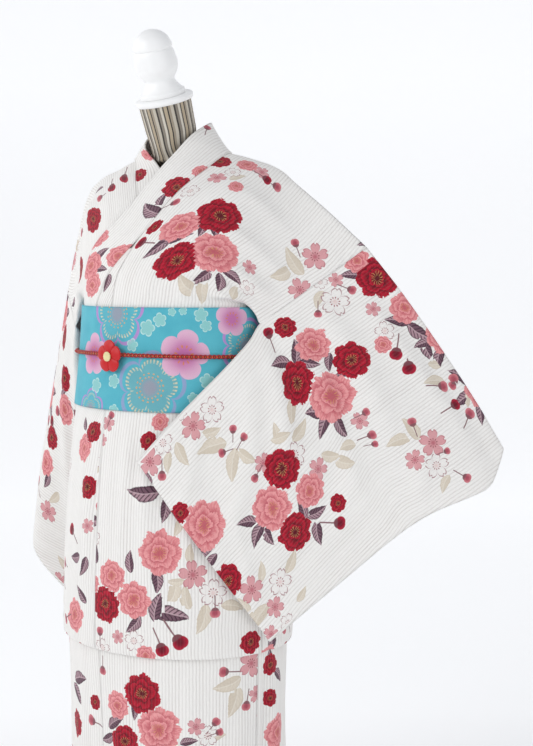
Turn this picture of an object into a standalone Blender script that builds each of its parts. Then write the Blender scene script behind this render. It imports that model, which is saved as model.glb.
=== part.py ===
"""A cotton yukata robe with its own belt, worn on a limbless dress form.

Every cut and sewn piece of the robe is a solid of its own. Metres, +Z up, the front faces -Y and
the wearer's left is +X. The origin is the centre of the stand's underside on the floor.
"""
import math

import bpy
import numpy as np

# Cloth: half thickness of one layer, of the doubled collar and of the belt cloth.
CLOTH = 0.00065
COLLAR = 0.0013
OBI = 0.0009
# Free space between two pieces along a seam.
SEAM = 0.0003
# How far each wrapped layer lies inside the outermost one.
TUCK = -0.0026
UNDER = -0.0052
SKIRT_OVER = -0.0080
SKIRT_UNDER = -0.0108
SKIRT_MIDDLE = -0.0094
# Heights: hem, lower edge of the waist fold, belt from bottom to top.
HEM = 0.070
FOLD = 0.583
OBI_LOW = 0.962
OBI_TOP = 1.124
# Seams round the body in degrees from the front, towards the wearer's left.
SIDE = 80.0
GORE_SEAM = -11.0
GORE_EDGE = -70.0
# The lifted sleeve lies parallel to a plane that is turned this far from the front.
TURN = math.radians(35.0)
# Rows of the robe from its waist fold over the shoulder: how many along the armhole.
ARM_STEPS = 6
FREE_STEPS = 7

# Outermost wrapped layer: height, half width, half depth, centre y.
BODY = [
    (0.07, 0.184, 0.152, -0.006), (0.25, 0.191, 0.158, -0.009), (0.45, 0.197, 0.164, -0.011),
    (0.60, 0.201, 0.168, -0.012), (0.75, 0.197, 0.164, -0.012), (0.88, 0.187, 0.155, -0.010),
    (0.962, 0.178, 0.147, -0.008), (1.05, 0.170, 0.139, -0.006), (1.124, 0.166, 0.135, -0.005),
]
# Shoulder fold from the middle to the armhole: place, x, y, z. Left is lifted, right falls.
SHOULDER_LEFT = [
    (0.0, 0.0, 0.0, 1.352), (0.3, 0.080, 0.012, 1.368), (0.45, 0.120, 0.033, 1.358),
    (0.6, 0.167, 0.045, 1.340), (0.72, 0.196, 0.053, 1.315), (0.85, 0.242, 0.067, 1.275),
    (1.0, 0.303, 0.090, 1.215),
]
SHOULDER_RIGHT = [
    (0.0, 0.0, 0.0, 1.352), (0.3, -0.080, 0.004, 1.366), (0.45, -0.125, 0.002, 1.350),
    (0.6, -0.165, 0.0, 1.336), (0.74, -0.200, 0.0, 1.308), (0.87, -0.224, 0.0, 1.240),
    (1.0, -0.256, 0.006, 1.140),
]
# Lower ends of the armhole seam, front and back.
ARM_LEFT_FRONT = (0.186, -0.034, 1.098)
ARM_LEFT_BACK = (0.196, 0.040, 1.106)
ARM_RIGHT_FRONT = (-0.196, -0.040, 1.085)
ARM_RIGHT_BACK = (-0.184, 0.072, 1.062)
# Collar on the left front: row from belt to neck, place of its outer edge across the chest.
COLLAR_EDGE = [
    (0.0, -0.355), (0.083, -0.232), (0.163, -0.127), (0.27, 0.055), (0.318, 0.135), (0.455, 0.252),
    (0.585, 0.330), (0.72, 0.373), (0.86, 0.368), (1.0, 0.335),
]
COLLAR_EDGE_RIGHT = [
    (0.0, -0.355), (0.15, -0.260), (0.30, -0.160), (0.45, -0.050), (0.60, 0.080), (0.70, 0.165),
    (0.78, 0.228), (0.90, 0.300), (1.0, 0.335),
]
# The same collar's upper edge where it lies on the chest: row of the outer edge, place, row.
COLLAR_INNER = [
    (0.0, -0.625, 0.020), (0.083, -0.510, 0.135), (0.163, -0.410, 0.225), (0.27, -0.262, 0.305),
    (0.318, -0.185, 0.350), (0.40, -0.090, 0.430), (0.455, -0.035, 0.490),
]
COLLAR_INNER_RIGHT = [
    (0.0, -0.625, 0.020), (0.15, -0.500, 0.200), (0.30, -0.360, 0.350), (0.45, -0.230, 0.510),
    (0.55, -0.150, 0.610),
]
COLLAR_STAND_RIGHT = [
    (0.60, 0.018, -0.066, 1.334), (0.68, 0.0095, -0.0605, 1.342), (0.76, -0.008, -0.056, 1.354),
    (0.85, -0.028, -0.050, 1.371), (0.93, -0.042, -0.034, 1.388), (1.0, -0.044, -0.010, 1.404),
    (1.08, -0.044, 0.016, 1.415), (1.16, -0.037, 0.036, 1.420), (1.23, -0.026, 0.052, 1.419),
    (1.28, -0.013, 0.062, 1.412), (1.30, 0.0, 0.066, 1.408),
]
# Where it stands up round the neck: row of the outer edge (over 1 at the back), x, y, z.
COLLAR_STAND = [
    (0.585, 0.020, -0.076, 1.339), (0.65, 0.027, -0.066, 1.351), (0.72, 0.033, -0.057, 1.362),
    (0.79, 0.038, -0.048, 1.373), (0.86, 0.043, -0.038, 1.385), (0.93, 0.045, -0.024, 1.396),
    (1.0, 0.046, -0.006, 1.406), (1.08, 0.044, 0.016, 1.415), (1.16, 0.037, 0.036, 1.420),
    (1.23, 0.026, 0.052, 1.419), (1.28, 0.013, 0.062, 1.412), (1.30, 0.0, 0.066, 1.408),
]
# Seam of the front gore above the belt, from belt upwards.
GORE_LEFT = [(0.0, -0.1375), (0.15, -0.050), (0.27, 0.080), (0.32, 0.120), (0.6, 0.2), (1.0, 0.3)]
GORE_RIGHT = [(0.0, -0.1375), (0.28, -0.145), (0.6, 0.0), (1.0, 0.3)]
# Roundness of the chest and back arch.
SHAPE = 1.02

# Sleeves: corners and edges as (across, height, towards the viewer's side of the sleeve plane).
LEFT_TOP = [(0.300, 1.215, 0.100), (0.359, 1.138, 0.108), (0.466, 0.981, 0.120), (0.512, 0.903, 0.130)]
LEFT_FRONT_INNER = [
    (0.138, 1.098, 0.135), (0.090, 1.043, 0.166), (0.062, 1.014, 0.172), (0.022, 0.974, 0.178),
    (-0.056, 0.889, 0.178),
]
LEFT_BACK_INNER = [
    (0.184, 1.106, 0.080), (0.104, 1.046, 0.135), (0.060, 1.010, 0.150), (0.016, 0.968, 0.158),
    (-0.056, 0.889, 0.166),
]
LEFT_BOTTOM = [(-0.056, 0.889, 0.172), (0.047, 0.750, 0.186), (0.148, 0.608, 0.176)]
LEFT_FRONT_CUFF = [
    (0.512, 0.903, 0.130), (0.488, 0.848, 0.160), (0.429, 0.822, 0.172), (0.378, 0.797, 0.172),
    (0.264, 0.704, 0.172), (0.148, 0.608, 0.176),
]
LEFT_BACK_CUFF = [
    (0.512, 0.903, 0.130), (0.494, 0.862, 0.112), (0.440, 0.836, 0.118), (0.378, 0.797, 0.150),
    (0.264, 0.704, 0.160), (0.148, 0.608, 0.176),
]
RIGHT_TOP = [
    (-0.206, 1.140, -0.152), (-0.246, 0.946, -0.200), (-0.270, 0.830, -0.228), (-0.284, 0.730, -0.248),
]
RIGHT_FRONT_INNER = [
    (-0.184, 1.085, -0.080), (-0.150, 1.030, -0.130), (-0.060, 0.930, -0.176), (0.0, 0.840, -0.196),
    (0.030, 0.750, -0.206),
]
RIGHT_BACK_INNER = [
    (-0.109, 1.062, -0.165), (-0.095, 1.020, -0.180), (-0.050, 0.930, -0.204), (0.004, 0.840, -0.214),
    (0.030, 0.750, -0.206),
]
RIGHT_BOTTOM = [(0.030, 0.750, -0.206), (0.012, 0.580, -0.236), (-0.020, 0.420, -0.240)]
RIGHT_FRONT_CUFF = [
    (-0.284, 0.730, -0.248), (-0.286, 0.672, -0.226), (-0.250, 0.618, -0.224), (-0.190, 0.560, -0.232),
    (-0.090, 0.480, -0.236), (-0.020, 0.420, -0.240),
]
RIGHT_BACK_CUFF = [
    (-0.284, 0.730, -0.248), (-0.276, 0.668, -0.284), (-0.240, 0.618, -0.276), (-0.190, 0.560, -0.254),
    (-0.090, 0.480, -0.250), (-0.020, 0.420, -0.240),
]

# Start of a piece's name, base colour, roughness.
FINISHES = [
    ("obi", (0.10, 0.40, 0.48), 0.75), ("bow", (0.10, 0.40, 0.48), 0.75),
    ("cord", (0.50, 0.02, 0.02), 0.6),
    ("clasp_flower", (0.55, 0.01, 0.01), 0.35), ("clasp_centre", (0.85, 0.78, 0.48), 0.4),
    ("form_torso", (0.42, 0.38, 0.33), 0.85), ("form_cap", (0.86, 0.86, 0.85), 0.4),
    ("form_finial", (0.88, 0.88, 0.87), 0.4), ("form_pole", (0.86, 0.86, 0.85), 0.35),
    ("form_base", (0.88, 0.88, 0.87), 0.4), ("", (0.84, 0.82, 0.79), 0.85),
]

# Turned parts of the dress form: radius, height.
CAP = [(0.0455, 0.0), (0.0470, 0.002), (0.0470, 0.008), (0.0445, 0.010)]
FINIAL = [
    (0.0360, 0.0), (0.0360, 0.007), (0.0330, 0.009), (0.0270, 0.017), (0.0238, 0.023),
    (0.0245, 0.027), (0.0290, 0.033), (0.0335, 0.042), (0.0345, 0.051), (0.0332, 0.062),
    (0.0308, 0.0715), (0.0296, 0.073), (0.0314, 0.0755), (0.0300, 0.084), (0.0250, 0.094),
    (0.0160, 0.1015), (0.0060, 0.1055),
]
FOOT = [
    (0.178, 0.0), (0.181, 0.003), (0.181, 0.012), (0.176, 0.017), (0.050, 0.0235), (0.030, 0.0242),
]

# Dress form: height, half width, half depth, centre y.
TORSO = [
    (0.700, 0.128, 0.100, 0.0), (0.712, 0.144, 0.114, 0.0), (0.80, 0.150, 0.120, 0.0),
    (0.90, 0.150, 0.120, 0.0), (1.00, 0.142, 0.112, 0.0), (1.08, 0.140, 0.110, 0.0),
    (1.17, 0.146, 0.112, 0.0), (1.25, 0.152, 0.096, 0.0), (1.301, 0.152, 0.064, 0.008),
    (1.331, 0.140, 0.038, 0.012), (1.348, 0.116, 0.030, 0.012), (1.353, 0.080, 0.034, 0.008),
    (1.3565, 0.053, 0.040, 0.0), (1.365, 0.041, 0.039, -0.006),
    (1.41, 0.0405, 0.0405, -0.022), (1.449, 0.0415, 0.0415, -0.036),
]
LEAN = math.radians(20.0)


def clear_scene():
    """Take away whatever the start-up file brought."""
    for item in list(bpy.data.objects):
        bpy.data.objects.remove(item, do_unlink=True)


def ease(value):
    """A smooth step from 0 to 1."""
    value = np.clip(value, 0.0, 1.0)
    return value * value * (3.0 - 2.0 * value)


def follow(rows, at):
    """A smooth curve through a table: the first column is the place, the others the values."""
    table = np.array(rows, dtype=float)
    places = table[:, 0]
    values = table[:, 1:]
    gaps = np.diff(places)[:, None]
    rises = np.diff(values, axis=0) / gaps
    slopes = np.vstack([rises[:1], (rises[1:] + rises[:-1]) / 2.0, rises[-1:]])
    at = np.clip(np.asarray(at, dtype=float), places[0], places[-1])
    index = np.clip(np.searchsorted(places, at, side="right") - 1, 0, len(places) - 2)
    width = gaps[index, 0]
    part = ((at - places[index]) / width)[..., None]
    width = width[..., None]
    square = part * part
    cube = square * part
    return (
        (2 * cube - 3 * square + 1) * values[index]
        + (cube - 2 * square + part) * width * slopes[index]
        + (3 * square - 2 * cube) * values[index + 1]
        + (cube - square) * width * slopes[index + 1]
    )


def path(points, at):
    """A smooth curve through points, with places in proportion to the distance between them."""
    points = np.array(points, dtype=float)
    steps = np.linalg.norm(np.diff(points, axis=0), axis=1)
    places = np.concatenate([[0.0], np.cumsum(steps)]) / steps.sum()
    return follow(np.column_stack([places, points]), at)


def body(degrees, height, extra=0.0):
    """A point on the wrapped body at an angle from the front, moved out by extra."""
    wide, deep, middle = np.moveaxis(follow(BODY, height), -1, 0)
    angle = np.radians(degrees)
    wide = wide + extra
    deep = deep + extra
    reach = 1.0 / np.sqrt((np.sin(angle) / wide) ** 2 + (np.cos(angle) / deep) ** 2)
    across = reach * np.sin(angle)
    return np.stack([across, middle - reach * np.cos(angle), height + 0.0 * reach], axis=-1)


def chest(place, row):
    """The robe above the belt. place runs from -1 (right armhole) to 1 (left armhole); row runs from
    0 (belt, front) over 1 (shoulder) to 2 (belt, back)."""
    place, row = np.broadcast_arrays(np.asarray(place, dtype=float), np.asarray(row, dtype=float))
    size = np.abs(place)
    left = place >= 0
    back = row > 1.0
    rise = np.where(back, 2.0 - row, row)
    top = np.where(left[..., None], follow(SHOULDER_LEFT, size), follow(SHOULDER_RIGHT, size))
    side = np.where(left, 1.0, -1.0)
    angle = np.where(back, 180.0 - SIDE * size, SIDE * size) * side
    foot = body(angle, np.full(angle.shape, OBI_TOP))
    turn = rise * math.pi / 2.0
    up = np.sin(turn) ** SHAPE
    over = 1.0 - np.clip(np.cos(turn), 0.0, 1.0) ** SHAPE
    bust = 0.010 * np.sin(np.clip(rise / 0.8, 0, 1) * math.pi) * np.where(back, 0.6, 1.0)
    turn_out = np.radians(angle)
    out = np.stack([np.sin(turn_out), -np.cos(turn_out), np.zeros(angle.shape)], axis=-1)
    arch = np.stack(
        [
            foot[..., 0] + (top[..., 0] - foot[..., 0]) * rise ** 1.3,
            foot[..., 1] + (top[..., 1] - foot[..., 1]) * over,
            foot[..., 2] + (top[..., 2] - foot[..., 2]) * up,
        ],
        axis=-1,
    ) + out * bust[..., None]
    low = np.where(
        left[..., None],
        np.where(back[..., None], ARM_LEFT_BACK, ARM_LEFT_FRONT),
        np.where(back[..., None], ARM_RIGHT_BACK, ARM_RIGHT_FRONT),
    )
    share = (rise[..., None] - 0.28) / 0.72
    seam = low + (top - low) * np.clip(share, 0, 1)
    # Below the armhole the slack cloth rises over the belt's edge and hangs out in front of it.
    hook = ease(rise / 0.28)[..., None]
    belt_edge = foot + (low - foot) * hook * hook + np.array([0.0, 0.0, 0.015]) * np.sin(hook * math.pi)
    edge = np.where(share < 0, belt_edge, seam)
    blend = ease((size - 0.52) / 0.48)[..., None]
    return arch * (1.0 - blend) + edge * blend


def normals_of(grid, around_rows=False, around_cols=False):
    """Unit normals of a grid of points, from evenly weighted directions to the neighbours."""
    def direction(axis, closed):
        ahead = np.roll(grid, -1, axis=axis) - grid
        behind = grid - np.roll(grid, 1, axis=axis)
        ahead /= np.maximum(np.linalg.norm(ahead, axis=-1, keepdims=True), 1e-12)
        behind /= np.maximum(np.linalg.norm(behind, axis=-1, keepdims=True), 1e-12)
        if not closed:
            first = [slice(None)] * 3
            last = [slice(None)] * 3
            first[axis] = 0
            last[axis] = -1
            behind[tuple(first)] = ahead[tuple(first)]
            ahead[tuple(last)] = behind[tuple(last)]
        return ahead + behind

    normal = np.cross(direction(1, around_cols), direction(0, around_rows))
    return normal / np.maximum(np.linalg.norm(normal, axis=-1, keepdims=True), 1e-12)


def finish_of(name):
    """Base colour, roughness and metallic value by the kind of piece."""
    for start, colour, roughness in FINISHES:
        if name.startswith(start):
            return colour, roughness
    return FINISHES[-1][1], FINISHES[-1][2]


def add_solid(name, points, faces):
    """Put one closed solid in the scene."""
    mesh = bpy.data.meshes.new(name)
    places = [tuple(map(float, point)) for point in points]
    mesh.from_pydata(places, [], [tuple(face) for face in faces])
    mesh.validate()
    mesh.update()
    mesh.shade_smooth()
    mesh.set_sharp_from_angle(angle=math.radians(35.0))
    item = bpy.data.objects.new(name, mesh)
    colour, roughness = finish_of(name)
    finish = bpy.data.materials.new(name)
    finish.use_nodes = True
    shader = finish.node_tree.nodes["Principled BSDF"]
    shader.inputs["Base Color"].default_value = colour + (1.0,)
    shader.inputs["Roughness"].default_value = roughness
    shader.inputs["Metallic"].default_value = 0.0
    mesh.materials.append(finish)
    bpy.context.scene.collection.objects.link(item)
    return item


def add_sheet(name, grid, half, around_cols=False, normals=None, closed_end=None):
    """A cloth wall of even thickness about a grid of points. closed_end is how many points either side
    of the lowest one are sewn shut on the last row, as below the wrist opening of a sleeve."""
    rows, cols = grid.shape[:2]
    if normals is None:
        normals = normals_of(grid, around_cols=around_cols)
    outer = (grid + normals * half).reshape(-1, 3)
    inner = (grid - normals * half).reshape(-1, 3)
    count = rows * cols
    faces = []
    span = cols if around_cols else cols - 1
    for r in range(rows - 1):
        for c in range(span):
            a = r * cols + c
            b = r * cols + (c + 1) % cols
            d = (r + 1) * cols + c
            e = (r + 1) * cols + (c + 1) % cols
            faces.append((a, b, e, d))
            faces.append((count + a, count + d, count + e, count + b))
    if closed_end is None:
        for c in range(span):
            a = c
            b = (c + 1) % cols
            faces.append((b, a, count + a, count + b))
            a = (rows - 1) * cols + c
            b = (rows - 1) * cols + (c + 1) % cols
            faces.append((a, b, count + b, count + a))
    else:
        low = closed_end
        for c in range(span):
            b = (c + 1) % cols
            faces.append((b, c, count + c, count + b))
        base = (rows - 1) * cols
        bottom = cols // 2
        for c in range(bottom - low):
            faces.append((base + c, base + c + 1, count + base + c + 1, count + base + c))
            a = cols - c
            faces.append((base + a - 1, base + a % cols, count + base + a % cols, count + base + a - 1))
        a = base + bottom - low
        b = base + bottom + low
        faces.append((a, b, count + b, count + a))
        for c in range(low):
            f = base + bottom - low + c
            k = base + bottom + low - c
            if c == low - 1:
                faces.append((f, f + 1, k))
                faces.append((count + f + 1, count + f, count + k))
            else:
                faces.append((f, f + 1, k - 1, k))
                faces.append((count + f + 1, count + f, count + k, count + k - 1))
    if not around_cols:
        for r in range(rows - 1):
            a = r * cols
            b = (r + 1) * cols
            faces.append((a, b, count + b, count + a))
            a = r * cols + cols - 1
            b = (r + 1) * cols + cols - 1
            faces.append((b, a, count + a, count + b))
    points = np.vstack([outer, inner])
    solid = add_solid(name, points, faces)
    if signed_volume(solid) < 0:
        solid.data.flip_normals()
    return solid


def signed_volume(item):
    """Volume of a closed mesh; negative when its faces point inwards."""
    item.data.calc_loop_triangles()
    points = np.array([vertex.co[:] for vertex in item.data.vertices])
    corners = np.array([triangle.vertices[:] for triangle in item.data.loop_triangles])
    a, b, c = points[corners[:, 0]], points[corners[:, 1]], points[corners[:, 2]]
    return float(np.einsum("ij,ij->i", a, np.cross(b, c)).sum() / 6.0)


def add_rings(name, rings):
    """A solid skinned over closed rings of points, with a flat cap at each end."""
    rows = len(rings)
    cols = len(rings[0])
    points = np.vstack([np.asarray(ring, dtype=float) for ring in rings])
    faces = []
    for r in range(rows - 1):
        for c in range(cols):
            b = (c + 1) % cols
            faces.append((r * cols + c, r * cols + b, (r + 1) * cols + b, (r + 1) * cols + c))
    faces.append(tuple(range(cols - 1, -1, -1)))
    faces.append(tuple((rows - 1) * cols + c for c in range(cols)))
    solid = add_solid(name, points, faces)
    if signed_volume(solid) < 0:
        solid.data.flip_normals()
    return solid


def add_loop(name, centres, radius, sides=7):
    """A round cord that closes on itself."""
    centres = np.array(centres, dtype=float)
    count = len(centres)
    along = np.roll(centres, -1, axis=0) - np.roll(centres, 1, axis=0)
    along /= np.linalg.norm(along, axis=1, keepdims=True)
    up = np.array([0.0, 0.0, 1.0])
    side = np.cross(along, up)
    side /= np.linalg.norm(side, axis=1, keepdims=True)
    rise = np.cross(side, along)
    turn = np.arange(sides) * 2 * math.pi / sides
    ring = (
        side[:, None, :] * np.cos(turn)[None, :, None] + rise[:, None, :] * np.sin(turn)[None, :, None]
    ) * radius
    points = (centres[:, None, :] + ring).reshape(-1, 3)
    faces = []
    for r in range(count):
        for c in range(sides):
            a = r * sides + c
            b = r * sides + (c + 1) % sides
            d = ((r + 1) % count) * sides + c
            e = ((r + 1) % count) * sides + (c + 1) % sides
            faces.append((a, b, e, d))
    solid = add_solid(name, points, faces)
    if signed_volume(solid) < 0:
        solid.data.flip_normals()
    return solid


def gap(radius=0.17):
    """The angle that half a seam's free space takes up."""
    return math.degrees(SEAM / radius) * 0.6


def skirt(name, first, last, offsets, columns):
    """One stretch of the skirt between two seams, from the hem up to under the belt."""
    heights = np.array([HEM, 0.19, 0.32, 0.45, 0.58, 0.71, 0.82, 0.90, 0.98])
    angles = np.linspace(first + gap(), last - gap(), columns)
    offset = np.interp(angles, np.linspace(first, last, len(offsets)), offsets)
    degrees, height = np.meshgrid(angles, heights)
    grid = body(degrees, height, np.broadcast_to(offset, degrees.shape))
    return add_sheet(name, grid, CLOTH)


def fold_rows(low_offset, high_offset):
    """Heights and offsets of the turned lower edge of the waist fold."""
    middle = (low_offset + high_offset) / 2.0
    radius = (high_offset - low_offset) / 2.0
    rows = []
    for step in range(5):
        angle = math.pi * step / 4.0
        rows.append((FOLD + radius - radius * math.sin(angle), middle - radius * math.cos(angle)))
    return rows


def side_angle(height, back):
    """Where a panel's outer edge lies round the body: the back reaches the seam below the belt."""
    drop = ease((OBI_TOP - height) / (OBI_TOP - OBI_LOW))
    return (180.0 - SIDE) * (1.0 - drop) + SIDE * drop if back else SIDE


def neckline(row):
    """Place of the neck seam across the back; 0 below the neck, where the centre seam runs."""
    share = min((row - 1.0) / 0.30, 1.0)
    return 0.335 * math.sqrt(1.0 - share * share)


def arm_rows():
    """Rows from the belt to the shoulder; the last ARM_STEPS + 1 lie on the armhole seam."""
    low = [0.07, 0.14, 0.21]
    seam = list(np.linspace(0.28, 1.0, ARM_STEPS + 1))
    return low + seam


def back_rows():
    """Rows from just behind the shoulder down to the belt, closer together at the neck seam."""
    rows = [2.0 - row for row in [0.0] + arm_rows()[:-1]]
    return sorted(rows + [1.18, 1.285, 1.303])


def body_panel(name, side):
    """One long panel: up the front from inside the waist fold, over the shoulder and down the back."""
    left = side > 0
    inner_heights = [0.93, 0.82, 0.71, 0.62]
    outer_heights = [0.62, 0.71, 0.80, 0.88, OBI_LOW]
    belt_heights = [1.00, 1.045, 1.09, OBI_TOP]
    shares = np.linspace(0.0, 1.0, 10)
    rows = []
    if left:
        rows += [("ring", height, TUCK, False) for height in inner_heights]
        rows += [("ring", height, offset, False) for height, offset in fold_rows(TUCK, 0.0)]
        rows += [("ring", height, 0.0, False) for height in outer_heights]
    else:
        rows += [("ring", height, UNDER, False) for height in outer_heights]
    rows += [("ring", height, 0.0 if left else UNDER, False) for height in belt_heights[:-1]]
    rows += [("chest", row, 0.0, False) for row in [0.0] + arm_rows()]
    rows += [("chest", row, 0.0, True) for row in back_rows()]
    rows += [("ring", height, 0.0, True) for height in reversed(belt_heights[:-1])]
    rows += [("ring", height, 0.0, True) for height in reversed(outer_heights)]
    rows += [("ring", height, offset, True) for height, offset in reversed(fold_rows(TUCK, 0.0))]
    rows += [("ring", height, TUCK, True) for height in reversed(inner_heights)]
    grid = []
    push = []
    for kind, value, offset, back in rows:
        if kind == "ring":
            outer = side_angle(value, back) - (0.0 if back else gap()) + (gap() if back else 0.0)
            inner = (180.0 - gap()) if back else GORE_SEAM + gap()
            angles = inner + (outer - inner) * shares
            extra = np.full(angles.shape, offset)
            if not left and back:
                share = (1.0 - ease((angles - SIDE) / 22.0)) * ease((OBI_TOP - value) / 0.10)
                extra = extra + UNDER * share
            if not left and not back:
                fade = ease((OBI_TOP - value) / 0.10)
                extra = extra * (1.0 - ease((angles - 53.0) / 22.0) * (1.0 - fade))
            grid.append(body(angles * side, np.full(angles.shape, value), extra))
            push.append(np.zeros(angles.shape))
        else:
            if back:
                inner = neckline(value)
            else:
                edge_table = COLLAR_EDGE if left else COLLAR_EDGE_RIGHT
                gore_table = GORE_LEFT if left else GORE_RIGHT
                inner = max(follow(edge_table, value)[0], follow(gore_table, value)[0])
            inner = inner + 0.0030
            places = inner + (1.0 - 0.0006 - inner) * shares
            grid.append(chest(places * side, np.full(places.shape, value)))
            if left:
                push.append(np.zeros(places.shape))
            else:
                fade = 1.0 - ease((value - 0.72) / 0.35)
                push.append(UNDER * fade * (1.0 - ease((places - 0.66) / 0.28)))
    grid = np.array(grid)
    normals = normals_of(grid)
    centre = grid - np.array([0.0, 0.0, 1.0]) * grid[..., 2:3]
    middle = len(rows) // 3
    if np.einsum("ijk,ijk->", normals[middle - 2:middle + 2], centre[middle - 2:middle + 2]) < 0:
        normals = -normals
    grid = grid + normals * np.array(push)[..., None]
    add_sheet(name, grid, CLOTH)
    wanted = arm_rows()[-ARM_STEPS - 1:]
    step = grid[:, -1, :] - grid[:, -2, :]
    edge = grid[:, -1, :] + step / np.linalg.norm(step, axis=1, keepdims=True) * 0.0009
    front = [index for index, row in enumerate(rows) if row[0] == "chest" and row[1] in wanted]
    behind = [2.0 - row for row in wanted[:-1]]
    back = [index for index, row in enumerate(rows) if row[0] == "chest" and row[1] in behind]
    return edge[front[::-1]], edge[[front[-1]] + back]


def gore(name, side):
    """The narrow front gore between the front panel and the edge of the wrap, above the skirt."""
    left = side > 0
    shares = np.linspace(0.0, 1.0, 7)
    grid = []
    if left:
        rows = [(height, TUCK) for height in (0.93, 0.82, 0.71, 0.62)]
        rows += fold_rows(TUCK, 0.0)
        rows += [(height, 0.0) for height in (0.62, 0.71, 0.80, 0.88, 0.93, OBI_LOW, 1.00, 1.045, 1.09)]
    else:
        heights = (0.62, 0.71, 0.80, 0.88, 0.93, OBI_LOW, 1.00, 1.045, 1.09)
        rows = [(height, UNDER) for height in heights]
    for height, offset in rows:
        seam = GORE_SEAM - gap()
        low_edge = GORE_EDGE if left else -44.0
        edge = low_edge + (-28.0 - low_edge) * ease((height - 0.93) / 0.15)
        angles = edge + (seam - edge) * shares
        grid.append(body(angles * side, np.full(angles.shape, height), np.full(angles.shape, offset)))
    for row in (0.0, 0.05, 0.10, 0.15, 0.21, 0.26):
        seam = follow(GORE_LEFT if left else GORE_RIGHT, row)[0] - 0.0016
        edge = min(follow(COLLAR_EDGE if left else COLLAR_EDGE_RIGHT, row)[0] + 0.0024, seam - 0.003)
        places = edge + (seam - edge) * shares
        grid.append(chest(places * side, np.full(places.shape, row)))
    grid = np.array(grid)
    if not left:
        normals = normals_of(grid)
        if normals[-2, 3, 1] > 0:
            normals = -normals
        grid[-6:] += normals[-6:] * UNDER
    return add_sheet(name, grid, CLOTH)


def collar_row(side, row, columns=6):
    """Points across the collar from its sewn edge to its free edge, at one row of its seam."""
    shares = np.linspace(0.018, 1.0, columns)
    left = side > 0
    if row <= 1.0:
        place = follow(COLLAR_EDGE if left else COLLAR_EDGE_RIGHT, row)[0] - 0.0045
    else:
        place = max(neckline(row) - 0.0080, 0.0) if row < 1.2999 else 0.0
    sewn = chest(side * place, row + (0.0 if row < 1.2999 else -0.003))
    free = follow(COLLAR_STAND if left else COLLAR_STAND_RIGHT, row)
    standing = sewn + (free - sewn) * shares[:, None]
    standing[:, 2] += 0.003 * np.sin(shares * math.pi)
    if row >= 0.60:
        return standing
    on_place, on_row = follow(COLLAR_INNER if left else COLLAR_INNER_RIGHT, row)
    lying = chest(side * (place + (on_place - place) * shares), row + (on_row - row) * shares)
    blend = ease((row - 0.40) / 0.20)
    return lying * (1.0 - blend) + standing * blend


def collar():
    """The doubled neck band: from under the right front, round the neck, down across the chest."""
    grid = []
    for row in (0.14, 0.21, 0.28, 0.40, 0.52):
        grid.append(collar_row(-1, row))
    under = len(grid)
    stand = [0.64, 0.70, 0.76, 0.82, 0.88, 0.94, 1.0, 1.06, 1.12, 1.18, 1.24, 1.285]
    for row in stand:
        grid.append(collar_row(-1, row))
    grid.append(collar_row(1, 1.30))
    for row in reversed(stand):
        grid.append(collar_row(1, row))
    for row in (0.52, 0.40, 0.34, 0.28, 0.21, 0.14, 0.07, 0.0):
        grid.append(collar_row(1, row))
    shares = np.linspace(0.0, 1.0, 6)
    angles = -29.0 + (-50.0 + 29.0) * shares
    grid.append(body(angles, np.full(angles.shape, 1.097) + 0.010 * shares, np.full(6, -0.0008)))
    grid = np.array(grid)
    normals = normals_of(grid)
    if normals[-3, 3, 1] > 0:
        normals = -normals
    sink = np.zeros(len(grid))
    sink[:under] = UNDER - 0.0012
    sink[under:under + 4] = (UNDER - 0.0012) * np.array([0.95, 0.8, 0.6, 0.3])
    grid = grid + normals * sink[:, None, None]
    return add_sheet("collar", grid, COLLAR, normals=normals)


def plane_point(values):
    """World point from (across, height, towards) in the plane the sleeves lie along."""
    values = np.asarray(values, dtype=float)
    across, height, towards = values[..., 0], values[..., 1], values[..., 2]
    return np.stack(
        [
            across * math.cos(TURN) + towards * math.sin(TURN),
            across * math.sin(TURN) - towards * math.cos(TURN),
            height,
        ],
        axis=-1,
    )


def plane_values(points):
    """The reverse of plane_point."""
    points = np.asarray(points, dtype=float)
    return np.stack(
        [
            points[..., 0] * math.cos(TURN) + points[..., 1] * math.sin(TURN),
            points[..., 2],
            points[..., 0] * math.sin(TURN) - points[..., 1] * math.cos(TURN),
        ],
        axis=-1,
    )


def body_face(across, height, extra, sign):
    """How far the wrapped body reaches towards (sign 1) or away from (sign -1) the sleeve's side."""
    wide, deep, middle = np.moveaxis(follow(BODY, np.clip(height, HEM, OBI_TOP)), -1, 0)
    wide = wide + extra
    deep = deep + extra
    cos, sin = math.cos(TURN), math.sin(TURN)
    # x = across cos + t sin, y - middle = across sin - t cos - middle
    x0 = across * cos
    y0 = across * sin - middle
    a = (sin / wide) ** 2 + (cos / deep) ** 2
    b = 2 * (x0 * sin / wide ** 2 - y0 * cos / deep ** 2)
    c = (x0 / wide) ** 2 + (y0 / deep) ** 2 - 1.0
    room = b * b - 4 * a * c
    root = np.sqrt(np.maximum(room, 0.0))
    face = (-b + sign * root) / (2 * a)
    return np.where(room > 0, face, -sign * 9.0)


def patch(top, bottom, inner, cuff):
    """Points between four edges: rows from the armhole to the wrist, columns from top to bottom."""
    rows, cols = len(top), len(inner)
    p = np.linspace(0.0, 1.0, rows)[:, None, None]
    q = np.linspace(0.0, 1.0, cols)[None, :, None]
    sides = inner[None] * (1 - p) + cuff[None] * p
    ends = top[:, None] * (1 - q) + bottom[:, None] * q
    corners = top[0] * (1 - p) * (1 - q) + top[-1] * p * (1 - q)
    corners = corners + bottom[0] * (1 - p) * q + bottom[-1] * p * q
    return sides + ends - corners


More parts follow.
